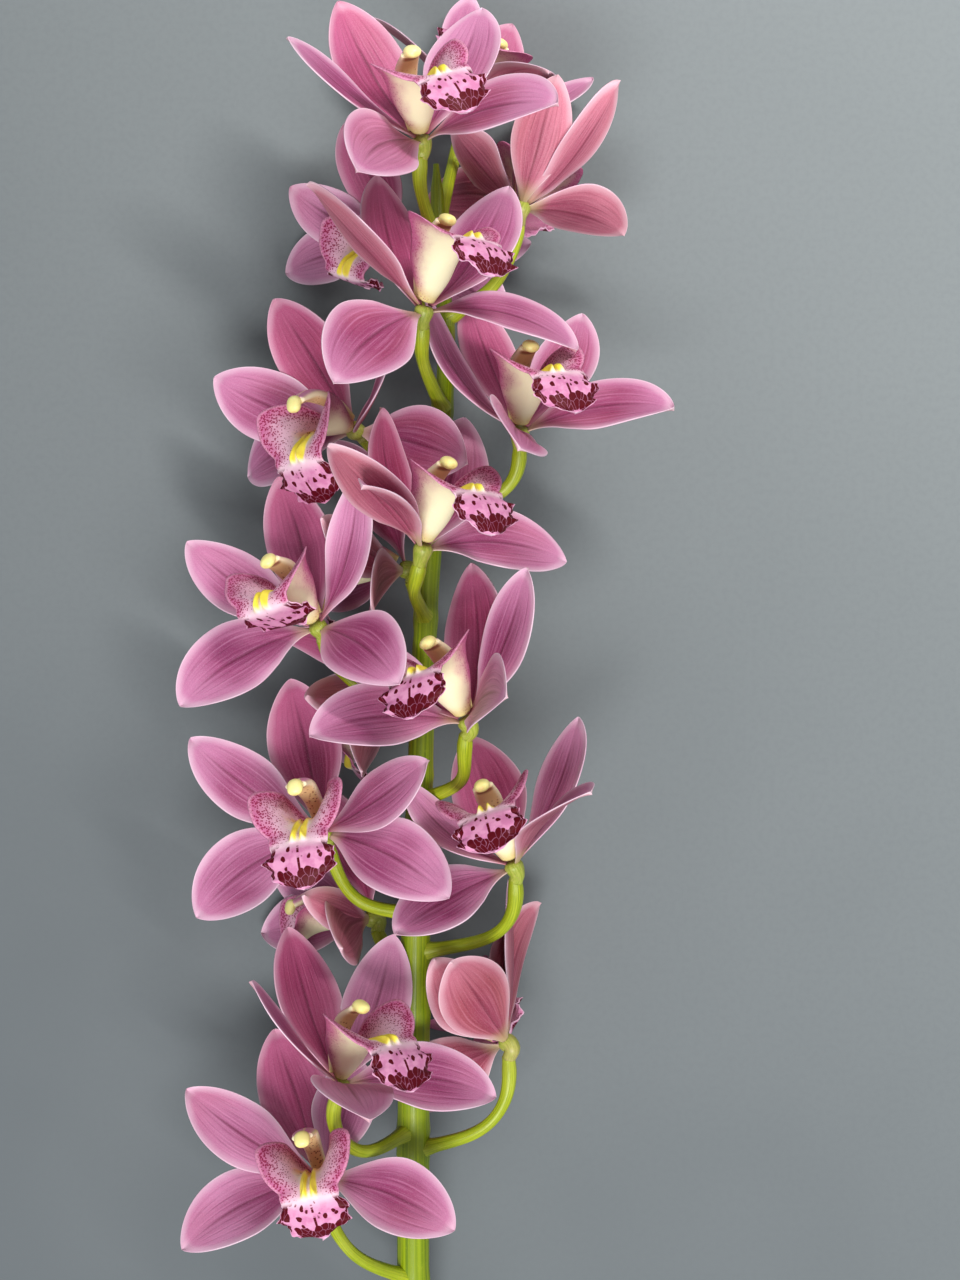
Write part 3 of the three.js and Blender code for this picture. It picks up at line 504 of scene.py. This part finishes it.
def stalk_part(b, stem):
    """One flower stalk, from the stem's middle to the ovary behind its bloom."""
    end = b["at"] - b["enter"] * (OVARY_END - 1)
    before = end - b["enter"] * OVARY_LENGTH
    height = stem[:, 1]
    root = np.array([np.interp(b["joint"], height, stem[:, axis]) for axis in range(3)])
    path = smooth_path([root, *b["way"], before, end], 46)
    for _ in range(STALK_PASSES):
        path[1:-1] = path[1:-1] / 2 + (path[:-2] + path[2:]) / 4
    share = np.linspace(0, 1, len(path))
    radii = np.interp(share * 3, range(4), STALK_RADIUS)
    radii = radii + NODE_SWELL * np.exp(-((share - 0.06) / 0.07) ** 2)
    radii = radii - WAIST_LOSS * np.exp(-((share - 0.6) / 0.2) ** 2)
    radii = radii - NECK_LOSS * ramp(share, 0.9, 1)
    return hose(path, radii, 24, 1, ridges=6, ridge=0.035)


# ---- materials ----------------------------------------------------------------------------

# colours of the lip, the column, the cut face and the floor, sRGB from 0 to 255
THROAT_TAN, THROAT_DOT, LIP_CREAM = (218, 170, 100), (118, 50, 28), (248, 236, 220)
LOBE_PALE, LOBE_PINK = (236, 192, 212), (200, 104, 150)
LOBE_DOT, LOBE_RIM = (140, 12, 64), (238, 176, 204)
KEEL_YELLOW, KEEL_WHITE = (252, 234, 84), (253, 247, 226)
TONGUE_LIGHT, TONGUE_DEEP, TONGUE_BACK = (222, 152, 188), (204, 126, 168), (242, 206, 220)
TONGUE_MARK, TONGUE_RIM, TONGUE_UNDER = (84, 0, 16), (250, 214, 232), (222, 140, 182)
TUBE_CREAM, TUBE_BLUSH, TUBE_BASE = (255, 250, 206), (196, 96, 142), (230, 212, 140)
TUBE_FRECKLE, TUBE_GRAIN = (168, 44, 96), (255, 250, 235)
COLUMN_BACK, COLUMN_CREAM, COLUMN_BASE = (224, 150, 184), (255, 240, 200), (222, 200, 130)
COLUMN_UNDER, COLUMN_LINE, COLUMN_SPOT = (226, 178, 110), (124, 30, 34), (132, 50, 36)
CAP_LIGHT, CAP_YELLOW, CAP_BASE = (255, 249, 182), (255, 238, 132), (248, 222, 142)
CUT_LIGHT, CUT_DEEP = (216, 222, 158), (196, 208, 128)
CUT_BUNDLE, CUT_SKIN = (150, 166, 78), (128, 152, 34)
# the floor's grey, and a darker grey painted as shade towards the near left corner
FLOOR_PAINTED_SHADE, FLOOR_LIGHT = (93, 99, 103), (114, 120, 122)
FLOOR_CLOUD, FLOOR_GRIT = (124, 130, 132), (98, 103, 107)

SUBSURFACE_RADIUS, SUBSURFACE_SCALE = (0.004, 0.0015, 0.002), 0.6
MIX_FACTOR, MIX_A, MIX_B, MIX_RESULT = 0, 6, 7, 2    # the colour sockets of a mix node
SRGB_GAMMA, SRGB_OFFSET, SRGB_SLOPE, SRGB_DARK = 2.4, 0.055, 12.92, 10


class Graph:
    """Short words for building one material's nodes. u and v are the place across and along
    a piece, from 0 to 1; rim is the distance from its rim in mm; spot is the place in metres."""

    def __init__(self, name, roughness, specular=0.35, subsurface=0.0):
        self.material = bpy.data.materials.new(name)
        self.material.use_nodes = True
        self.tree = self.material.node_tree
        self.shader = self.tree.nodes["Principled BSDF"]
        self.shader.inputs["Roughness"].default_value = roughness
        self.shader.inputs["Specular IOR Level"].default_value = specular
        if subsurface:
            self.shader.inputs["Subsurface Weight"].default_value = subsurface
            self.shader.inputs["Subsurface Radius"].default_value = SUBSURFACE_RADIUS
            self.shader.inputs["Subsurface Scale"].default_value = SUBSURFACE_SCALE
        self.place, self.u, self.v = self.layer("place")
        self.rim = self.times(self.layer("rim")[1], RIM_UNIT)
        body = self.tree.nodes.new("ShaderNodeTexCoord")
        self.spot = body.outputs["Object"]

    def layer(self, name):
        """A layer of the mesh, and its two numbers apart."""
        place = self.tree.nodes.new("ShaderNodeUVMap")
        place.uv_map = name
        split = self.tree.nodes.new("ShaderNodeSeparateXYZ")
        self.tree.links.new(place.outputs["UV"], split.inputs[0])
        return place.outputs["UV"], split.outputs["X"], split.outputs["Y"]

    def plug(self, socket, value):
        """Links a socket to another one, or sets it to a constant."""
        if isinstance(value, bpy.types.NodeSocket):
            self.tree.links.new(value, socket)
        else:
            socket.default_value = value

    def math(self, operation, a, b=0.0):
        node = self.tree.nodes.new("ShaderNodeMath")
        node.operation = operation
        self.plug(node.inputs[0], a)
        self.plug(node.inputs[1], b)
        return node.outputs[0]

    def plus(self, a, b):
        return self.math("ADD", a, b)

    def less(self, a, b):
        return self.math("SUBTRACT", a, b)

    def size(self, value):
        return self.math("ABSOLUTE", value)

    def times(self, *values):
        result = values[0]
        for value in values[1:]:
            result = self.math("MULTIPLY", result, value)
        return result

    def step(self, value, low, high, start=0.0, end=1.0):
        """A smooth change from start at low to end at high."""
        node = self.tree.nodes.new("ShaderNodeMapRange")
        node.interpolation_type = "SMOOTHSTEP"
        self.plug(node.inputs["Value"], value)
        numbers = {"From Min": low, "From Max": high, "To Min": start, "To Max": end}
        for name, number in numbers.items():
            node.inputs[name].default_value = number
        return node.outputs[0]

    def mix(self, factor, a, b):
        node = self.tree.nodes.new("ShaderNodeMix")
        node.data_type = "RGBA"
        self.plug(node.inputs[MIX_FACTOR], factor)
        self.plug(node.inputs[MIX_A], rgba(a))
        self.plug(node.inputs[MIX_B], rgba(b))
        return node.outputs[MIX_RESULT]

    def stretched(self, vector, stretch):
        """Coordinates, those of the object unless others are given, scaled along each axis."""
        vector = self.spot if vector is None else vector
        if not stretch:
            return vector
        mapping = self.tree.nodes.new("ShaderNodeMapping")
        self.plug(mapping.inputs["Vector"], vector)
        mapping.inputs["Scale"].default_value = stretch
        return mapping.outputs[0]

    def noise(self, scale, detail=2.0, vector=None, stretch=None, rough=0.5):
        node = self.tree.nodes.new("ShaderNodeTexNoise")
        self.plug(node.inputs["Vector"], self.stretched(vector, stretch))
        node.inputs["Scale"].default_value = scale
        node.inputs["Detail"].default_value = detail
        node.inputs["Roughness"].default_value = rough
        return node.outputs["Fac"]

    def cells(self, scale, vector=None, stretch=None, feature="F1"):
        """The distance to the nearest of scattered points, or to the edge of its cell."""
        node = self.tree.nodes.new("ShaderNodeTexVoronoi")
        node.feature = feature
        self.plug(node.inputs["Vector"], self.stretched(vector, stretch))
        node.inputs["Scale"].default_value = scale
        return node.outputs["Distance"]

    def warped(self, scale, amount, vector=None, stretch=None):
        """Coordinates pushed about by a noise, so that cells lose their straight sides."""
        node = self.tree.nodes.new("ShaderNodeTexNoise")
        self.plug(node.inputs["Vector"], self.spot)
        node.inputs["Scale"].default_value = scale
        push = self.tree.nodes.new("ShaderNodeVectorMath")
        push.operation = "MULTIPLY_ADD"
        self.plug(push.inputs[0], node.outputs["Color"])
        push.inputs[1].default_value = (amount, amount, amount)
        self.plug(push.inputs[2], self.stretched(vector, stretch))
        return push.outputs[0]

    def finish(self, colour, height, strength, distance):
        """Gives the shader its colour and bump, and returns the material."""
        self.plug(self.shader.inputs["Base Color"], colour)
        bump = self.tree.nodes.new("ShaderNodeBump")
        bump.inputs["Strength"].default_value = strength
        bump.inputs["Distance"].default_value = distance
        self.plug(bump.inputs["Height"], height)
        self.tree.links.new(bump.outputs[0], self.shader.inputs["Normal"])
        return self.material


def rgba(colour):
    """sRGB steps from 0 to 255 as a linear colour; a socket is passed on."""
    if isinstance(colour, bpy.types.NodeSocket):
        return colour
    linear = []
    for level in colour:
        share = level / 255
        if level > SRGB_DARK:
            linear.append(((share + SRGB_OFFSET) / (1 + SRGB_OFFSET)) ** SRGB_GAMMA)
        else:
            linear.append(share / SRGB_SLOPE)
    return (*linear, 1.0)


def tepal_material(name, light, deep, warm, rib, base, margin, base_reach, veining, relief):
    """A petal's or sepal's surface: patches, streaks, veins, a midrib, a pale rim with a painted
    highlight at its edge, and a base.
    relief is how high its veins stand; they are sunk in its face."""
    g = Graph(name, roughness=0.45, specular=0.3, subsurface=0.04)
    patch = g.noise(scale=22, detail=2)
    wander = g.times(g.less(g.noise(scale=40, detail=2), 0.5), 0.09)
    signed = g.plus(g.less(g.times(g.u, 2.0), 1.0), wander)
    out = g.size(signed)
    colour = g.mix(g.step(patch, 0.36, 0.64), light, deep)
    # warmer patches, deeper along the middle and paler towards the sides and the tip
    colour = g.mix(g.step(g.noise(scale=13, detail=2), 0.46, 0.68, 0.0, 0.6), colour, warm)
    inside = g.times(g.step(out, 0.7, 0.1), g.step(g.v, 1.0, 0.4), 0.75)
    colour = g.mix(inside, colour, deep)
    outside = g.times(g.step(out, 0.5, 1.0), g.step(patch, 0.3, 0.6, 0.35, 0.8))
    colour = g.mix(outside, colour, light)
    tip = g.times(g.step(g.v, 0.55, 1.0), g.step(patch, 0.3, 0.6, 0.3, 0.7))
    colour = g.mix(tip, colour, light)
    # soft streaks and fine veins that run with the blade, and the midrib
    fade = g.times(g.step(g.rim, 0.8, 4.5), g.step(g.v, 0.98, 0.72))
    streak = g.noise(1.0, 3, g.place, stretch=(26.0, 1.4, 1.0), rough=0.62)
    colour = g.mix(g.times(g.step(streak, 0.5, 0.68), fade, veining * 0.85), colour, rib)
    colour = g.mix(g.times(g.step(streak, 0.5, 0.32), fade, 0.55), colour, light)
    wave = g.step(g.math("COSINE", g.times(signed, 34.0)), 0.3, 1.0)
    broken = g.step(g.noise(5, 2, g.place, stretch=(3.0, 1.0, 1.0)), 0.4, 0.62)
    veins = g.times(wave, broken, fade)
    colour = g.mix(g.times(veins, veining * 0.28), colour, rib)
    middle = g.times(g.step(out, 0.07, 0.0), g.step(g.v, 0.92, 0.6), g.step(g.v, 0.03, 0.2))
    colour = g.mix(g.times(middle, 0.75), colour, rib)
    # grain of the cells
    grain = g.noise(scale=2600, detail=2)
    colour = g.mix(g.step(grain, 0.46, 0.7, 0.0, 0.08), colour, margin)
    colour = g.mix(g.step(grain, 0.5, 0.3, 0.0, 0.08), colour, rib)
    # the pale rim, wider at the tip, and a painted highlight along the very edge
    soft = g.plus(g.rim, g.step(g.v, 0.8, 1.0, 0.0, -1.2))
    soft = g.plus(soft, g.times(g.less(g.noise(scale=90, detail=2), 0.5), 1.6))
    colour = g.mix(g.step(soft, 3.6, 0.0, 0.0, 0.42), colour, margin)
    # painted highlight: a bright line right along the edge
    painted_edge_highlight = g.step(g.noise(scale=60, detail=2), 0.35, 0.6, 0.15, 0.65)
    colour = g.mix(g.times(g.step(g.rim, 0.65, 0.15), painted_edge_highlight), colour, margin)
    # the base beside the lip
    reach = g.plus(g.v, g.times(g.less(patch, 0.5), 0.14))
    colour = g.mix(g.step(reach, base_reach, base_reach * 0.2, 0.0, 0.85), colour, base)
    height = g.plus(g.times(g.plus(streak, veins), relief), g.times(grain, 0.25))
    return g.finish(colour, height, strength=0.35, distance=0.0005)


def lip_inside():
    """The lip's upper side: dotted side lobes, the callus, and the marked midlobe."""
    g = Graph("lip_inside", roughness=0.48, specular=0.16, subsurface=0.03)
    out = g.size(g.less(g.times(g.u, 2.0), 1.0))
    # throat: tan with brown dots, then cream in front of it
    throat = g.mix(g.step(g.cells(scale=620), 0.34, 0.26), THROAT_TAN, THROAT_DOT)
    ground = g.mix(g.step(g.v, 0.3, 0.42), throat, LIP_CREAM)
    # side lobes: pink with fine crimson dots, densest at the rim
    mottle = g.noise(scale=260, detail=3)
    uneven = g.less(mottle, 0.5)
    edge = g.plus(g.rim, g.times(uneven, 4.0))
    side = g.mix(g.step(edge, 7.0, 0.0), LOBE_PALE, LOBE_PINK)
    size = g.step(edge, 12.0, 0.5, 0.16, 0.5)
    speckle = g.step(g.less(size, g.cells(scale=1250)), 0.0, 0.05)
    side = g.mix(g.times(speckle, 0.88), side, LOBE_DOT)
    upper = g.mix(g.step(edge, 12.0, 7.5), ground, side)
    upper = g.mix(g.step(g.rim, 0.9, 0.3, 0.0, 0.45), upper, LOBE_RIM)
    # the callus: two bright keels, white in front
    keels = g.step(g.size(g.less(out, KEEL_PLACE + 0.01)), 0.12, 0.07)
    keels = g.times(keels, g.step(g.v, 0.3, 0.4), g.step(g.v, 0.63, 0.6))
    callus = g.mix(g.step(g.v, 0.57, 0.62), KEEL_YELLOW, KEEL_WHITE)
    upper = g.mix(keels, upper, callus)
    # midlobe: pink, paler behind, with a ragged dark band and a few marks further in
    tongue = g.mix(g.step(mottle, 0.38, 0.62), TONGUE_LIGHT, TONGUE_DEEP)
    tongue = g.mix(g.step(g.v, 0.7, 0.6), tongue, TONGUE_BACK)
    inward = g.plus(g.rim, g.times(uneven, 1.4))
    size = g.step(inward, 0.4, 1.0, 0.0, 0.8)
    size = g.less(size, g.step(inward, 3.4, 7.4, 0.0, 0.44))
    size = g.less(size, g.step(inward, 11.0, 16.0, 0.0, 0.3))
    ragged = g.warped(scale=360, amount=0.5, vector=g.place, stretch=(11.0, 13.0, 1.0))
    blot = g.step(g.less(size, g.cells(1.0, ragged)), 0.0, 0.06)
    seam = g.step(g.cells(1.0, ragged, feature="DISTANCE_TO_EDGE"), 0.0, 0.05, 0.62, 1.0)
    band = g.times(blot, seam, g.step(g.v, 0.6, 0.66))
    # a broken line along the middle
    dash = g.step(g.noise(1.0, 1, g.place, stretch=(1.0, 55.0, 1.0)), 0.42, 0.48)
    line = g.times(g.step(out, 0.034, 0.022), dash,
                   g.step(g.v, 0.64, 0.67), g.step(g.rim, 1.0, 2.0))
    tongue = g.mix(g.math("MAXIMUM", band, line), tongue, TONGUE_MARK)
    tongue = g.mix(g.step(g.rim, 0.5, 0.15, 0.0, 0.6), tongue, TONGUE_RIM)
    ahead = g.plus(g.v, g.times(uneven, 0.05))
    colour = g.mix(g.step(ahead, 0.575, 0.625), upper, tongue)
    height = g.plus(g.times(speckle, -0.3), g.times(g.noise(scale=1300, detail=2), 0.4))
    return g.finish(colour, height, strength=0.3, distance=0.0004)


def lip_outside():
    """The lip's under side: a cream tube with a pink blush and freckles near its rim."""
    g = Graph("lip_outside", roughness=0.4, specular=0.35)
    mottle = g.less(g.noise(scale=150, detail=3), 0.5)
    edge = g.plus(g.rim, g.times(mottle, 6.0))
    colour = g.mix(g.step(edge, 9.5, 0.5), TUBE_CREAM, TUBE_BLUSH)
    colour = g.mix(g.step(g.v, 0.1, 0.0), colour, TUBE_BASE)
    ahead = g.plus(g.v, g.times(mottle, 0.1))
    colour = g.mix(g.step(ahead, 0.5, 0.62), colour, TONGUE_UNDER)
    freckle = g.times(g.step(g.cells(scale=1000), 0.36, 0.28), g.step(edge, 7.5, 2.5))
    colour = g.mix(g.times(freckle, 0.55), colour, TUBE_FRECKLE)
    grain = g.noise(scale=1700, detail=2)
    colour = g.mix(g.step(grain, 0.45, 0.75, 0.0, 0.15), colour, TUBE_GRAIN)
    return g.finish(colour, grain, strength=0.2, distance=0.0004)


def column_material():
    """The column: a pink back, cream sides, and a tan under side with brown spots."""
    g = Graph("column", roughness=0.42, specular=0.35, subsurface=0.1)
    # u runs round the column from its back
    back = g.size(g.less(g.math("FRACT", g.plus(g.u, 0.5)), 0.5))
    colour = g.mix(g.step(back, 0.12, 0.24), COLUMN_BACK, COLUMN_CREAM)
    colour = g.mix(g.step(g.v, 0.3, 0.0), colour, COLUMN_BASE)
    under = g.step(back, 0.3, 0.4)
    colour = g.mix(g.times(under, 0.7), colour, COLUMN_UNDER)
    line = g.times(under, g.step(g.v, 0.9, 0.95), g.step(g.v, 1.0, 0.97))
    colour = g.mix(g.times(line, 0.8), colour, COLUMN_LINE)
    spots = g.times(g.step(g.cells(scale=700), 0.32, 0.24), under, g.step(g.v, 0.8, 0.6, 0.0, 0.8))
    colour = g.mix(spots, colour, COLUMN_SPOT)
    return g.finish(colour, g.noise(scale=900, detail=2), strength=0.2, distance=0.0004)


def cap_material():
    """The anther cap, yellow and darker where it joins the column."""
    g = Graph("anther_cap", roughness=0.36, specular=0.45, subsurface=0.1)
    colour = g.mix(g.noise(scale=160, detail=2), CAP_LIGHT, CAP_YELLOW)
    colour = g.mix(g.step(g.v, 0.14, 0.04), colour, CAP_BASE)
    return g.finish(colour, g.noise(scale=700, detail=2), strength=0.15, distance=0.0003)


def green_material(name, light, deep, tint):
    """Stem, stalk or receptacle: streaks along it, tinted patches and fine flecks."""
    g = Graph(name, roughness=0.38, specular=0.42, subsurface=0.05)
    streak = g.noise(1.0, 4, g.place, stretch=(34.0, 3.0, 1.0), rough=0.6)
    colour = g.mix(g.step(streak, 0.38, 0.64), light, deep)
    colour = g.mix(g.step(g.noise(scale=45, detail=3), 0.5, 0.72, 0.0, 0.35), colour, tint)
    fleck = g.noise(scale=900, detail=2)
    colour = g.mix(g.step(fleck, 0.58, 0.74, 0.0, 0.25), colour, tint)
    height = g.plus(g.times(streak, 0.9), g.times(fleck, 0.2))
    return g.finish(colour, height, strength=0.25, distance=0.0006)


def cut_material():
    """The cut end of the stem: pale, with the dots of its bundles and a green skin."""
    g = Graph("cut_face", roughness=0.5, specular=0.3)
    bundles = g.step(g.cells(scale=650), 0.24, 0.14)
    colour = g.mix(g.noise(scale=260, detail=2), CUT_LIGHT, CUT_DEEP)
    colour = g.mix(g.times(bundles, 0.6), colour, CUT_BUNDLE)
    colour = g.mix(g.step(g.rim, 2.0, 1.5), colour, CUT_SKIN)
    return g.finish(colour, bundles, strength=0.2, distance=0.0004)


def floor_material():
    """The plain grey surface, with painted shade that darkens it towards the near left corner."""
    g = Graph("floor", roughness=0.75, specular=0.2)
    across = g.tree.nodes.new("ShaderNodeSeparateXYZ")
    g.plug(across.inputs[0], g.spot)
    # painted shade: the grey darkens along a slope towards the near left corner, away from the key
    # lamp
    slope = g.plus(across.outputs["Y"], g.times(across.outputs["X"], 0.6))
    colour = g.mix(g.step(slope, -0.42, 0.3), FLOOR_PAINTED_SHADE, FLOOR_LIGHT)
    cloud = g.step(g.noise(scale=5, detail=3), 0.3, 0.7, 0.0, 0.25)
    colour = g.mix(cloud, colour, FLOOR_CLOUD)
    grit = g.step(g.noise(scale=420, detail=3), 0.35, 0.75, 0.0, 0.18)
    colour = g.mix(grit, colour, FLOOR_GRIT)
    return g.finish(colour, g.noise(scale=300, detail=3), strength=0.06, distance=0.0006)


FACE = dict(base_reach=0.2, veining=0.38, relief=-0.4)
petal_face = tepal_material(
    "petal_face", light=(210, 138, 178), deep=(148, 56, 106), warm=(172, 68, 96),
    rib=(104, 20, 60), base=(176, 92, 106), margin=(238, 212, 226), **FACE)
sepal_face = tepal_material(
    "sepal_face", light=(206, 134, 174), deep=(146, 54, 104), warm=(170, 72, 100),
    rib=(102, 20, 60), base=(208, 180, 154), margin=(236, 210, 224), **FACE)
# painted shade: the dorsal sepal's face is a darker copy of the sepal face, for blades that face
# away from the key lamp
dorsal_face_painted_shade = tepal_material(
    "dorsal_face_painted_shade", light=(192, 98, 140), deep=(144, 44, 88), warm=(160, 58, 86),
    rib=(96, 18, 52), base=(172, 94, 102), margin=(228, 192, 208), **FACE)
petal_back = tepal_material(
    "petal_back", light=(200, 120, 140), deep=(150, 58, 88), warm=(174, 88, 88),
    rib=(114, 28, 54), base=(196, 156, 116), margin=(238, 208, 218),
    base_reach=0.2, veining=0.55, relief=0.4)
sepal_back = tepal_material(
    "sepal_back", light=(198, 118, 138), deep=(148, 56, 86), warm=(172, 88, 86),
    rib=(112, 26, 52), base=(186, 166, 112), margin=(236, 206, 214),
    base_reach=0.26, veining=0.55, relief=0.4)
hub_green = green_material(
    "hub_green", light=(172, 180, 76), deep=(140, 156, 44), tint=(190, 142, 124))
stem_green = green_material(
    "stem_green", light=(142, 160, 14), deep=(100, 124, 4), tint=(166, 176, 44))
stalk_green = green_material(
    "stalk_green", light=(168, 180, 34), deep=(130, 148, 14), tint=(186, 190, 80))
cut_green = cut_material()
lip_in, lip_out = lip_inside(), lip_outside()
column_body, anther = column_material(), cap_material()

# ---- the pieces ---------------------------------------------------------------------------

TIP_START, TIP_NARROWING = 0.975, 0.55         # the stem's tip narrows to a blunt point
JOINT_SWELL, JOINT_REACH = 0.45, 3.0           # the stem is thicker where a stalk leaves it

stem_path = smooth_path(STEM_ROUTE, 150)
stem_share = np.linspace(0, 1, len(stem_path))
stations = range(len(STEM_RADIUS))
radii = np.interp(stem_share * stations[-1], stations, STEM_RADIUS)
radii = radii * (1 - TIP_NARROWING * ramp(stem_share, TIP_START, 1.0))
height = stem_path[:, 1]
for b in BLOOMS:
    radii = radii + JOINT_SWELL * np.exp(-((height - b["joint"]) / JOINT_REACH) ** 2)
stem_parts = [hose(stem_path, radii, 40, 0, ridges=9, ridge=0.02, cut_slot=2)]
stem_parts += [stalk_part(b, stem_path) for b in BLOOMS]
make_piece("stem", stem_parts, [stem_green, stalk_green, cut_green], "flower_stem")

# a bloom's materials, and which of them a tepal has on its face, its back and its rim
TEPAL_MATERIALS = [petal_face, petal_back, sepal_face, sepal_back, dorsal_face_painted_shade, hub_green]
TEPAL_SLOTS = {"petal": (0, 1, 0), "lateral": (2, 3, 2), "dorsal": (4, 3, 4)}
for b in BLOOMS:
    name = b["name"]
    blades = [tepal_sheet(b, kind, mirror, changes, TEPAL_SLOTS[kind])
              for kind, mirror, changes in b["tepals"]]
    make_piece("tepals_" + name, blades + [receptacle(b)], TEPAL_MATERIALS,
               f"bloom_{name}_tepals")
    make_piece("lip_" + name, [lip_sheet(b)], [lip_in, lip_out],
               f"bloom_{name}_lip")
    make_piece("column_" + name, column_parts(b), [column_body, anther],
               f"bloom_{name}_column")

# ---- floor, light and camera, in metres but where it says mm ------------------------------

FLOOR_REACH = 6.0
LAMP_TARGET = (0, 0, 0.05)
KEY_LAMP = dict(place=(0.7, 1.0, 1.4), size=0.9, power=136, colour=(1.0, 0.98, 0.95))
FILL_LAMP = dict(place=(-0.1, -0.9, 1.7), size=1.2, power=54, colour=(1.0, 1.0, 0.99))
SKY_COLOUR, SKY_STRENGTH = (0.95, 0.97, 1.0, 1), 0.46
CAMERA_HEIGHT = 900.0                          # mm above the stem's axis
PICTURE_HEIGHT = 492.8                         # mm that the picture spans there, top to bottom
SENSOR = 36.0                                  # mm along the picture's longer side
FARTHEST = 20                                  # what the camera still sees

mesh = bpy.data.meshes.new("floor")
corners = [(x * FLOOR_REACH, y * FLOOR_REACH, 0) for x, y in ((-1, -1), (1, -1), (1, 1), (-1, 1))]
mesh.from_pydata(corners, [], [(0, 1, 2, 3)])
mesh.uv_layers.new(name="place")
mesh.uv_layers.new(name="rim")
mesh.materials.append(floor_material())
floor = bpy.data.objects.new("floor", mesh)
bpy.context.scene.collection.objects.link(floor)


def area_light(name, place, size, power, colour):
    """A round soft lamp that points at the target."""
    light = bpy.data.lights.new(name, "AREA")
    light.shape = "DISK"
    light.size = size
    light.energy = power
    light.color = colour
    item = bpy.data.objects.new(name, light)
    item.location = place
    offset = np.array(LAMP_TARGET) - np.array(place)
    tilt = math.acos(-offset[2] / np.linalg.norm(offset))
    item.rotation_euler = (tilt, 0, math.atan2(offset[0], -offset[1]))
    bpy.context.scene.collection.objects.link(item)


area_light("key", **KEY_LAMP)
area_light("fill", **FILL_LAMP)
world = bpy.data.worlds.new("studio")
world.use_nodes = True
sky = world.node_tree.nodes["Background"]
sky.inputs["Color"].default_value = SKY_COLOUR
sky.inputs["Strength"].default_value = SKY_STRENGTH
bpy.context.scene.world = world
bpy.context.scene.view_settings.view_transform = "Standard"

camera = bpy.data.cameras.new("camera")
camera.sensor_width = SENSOR
camera.lens = SENSOR * CAMERA_HEIGHT / PICTURE_HEIGHT
camera.clip_end = FARTHEST
eye = bpy.data.objects.new("camera", camera)
eye.location = (ORIGIN + (0, 0, CAMERA_HEIGHT)) * MM
bpy.context.scene.collection.objects.link(eye)
bpy.context.scene.camera = eye
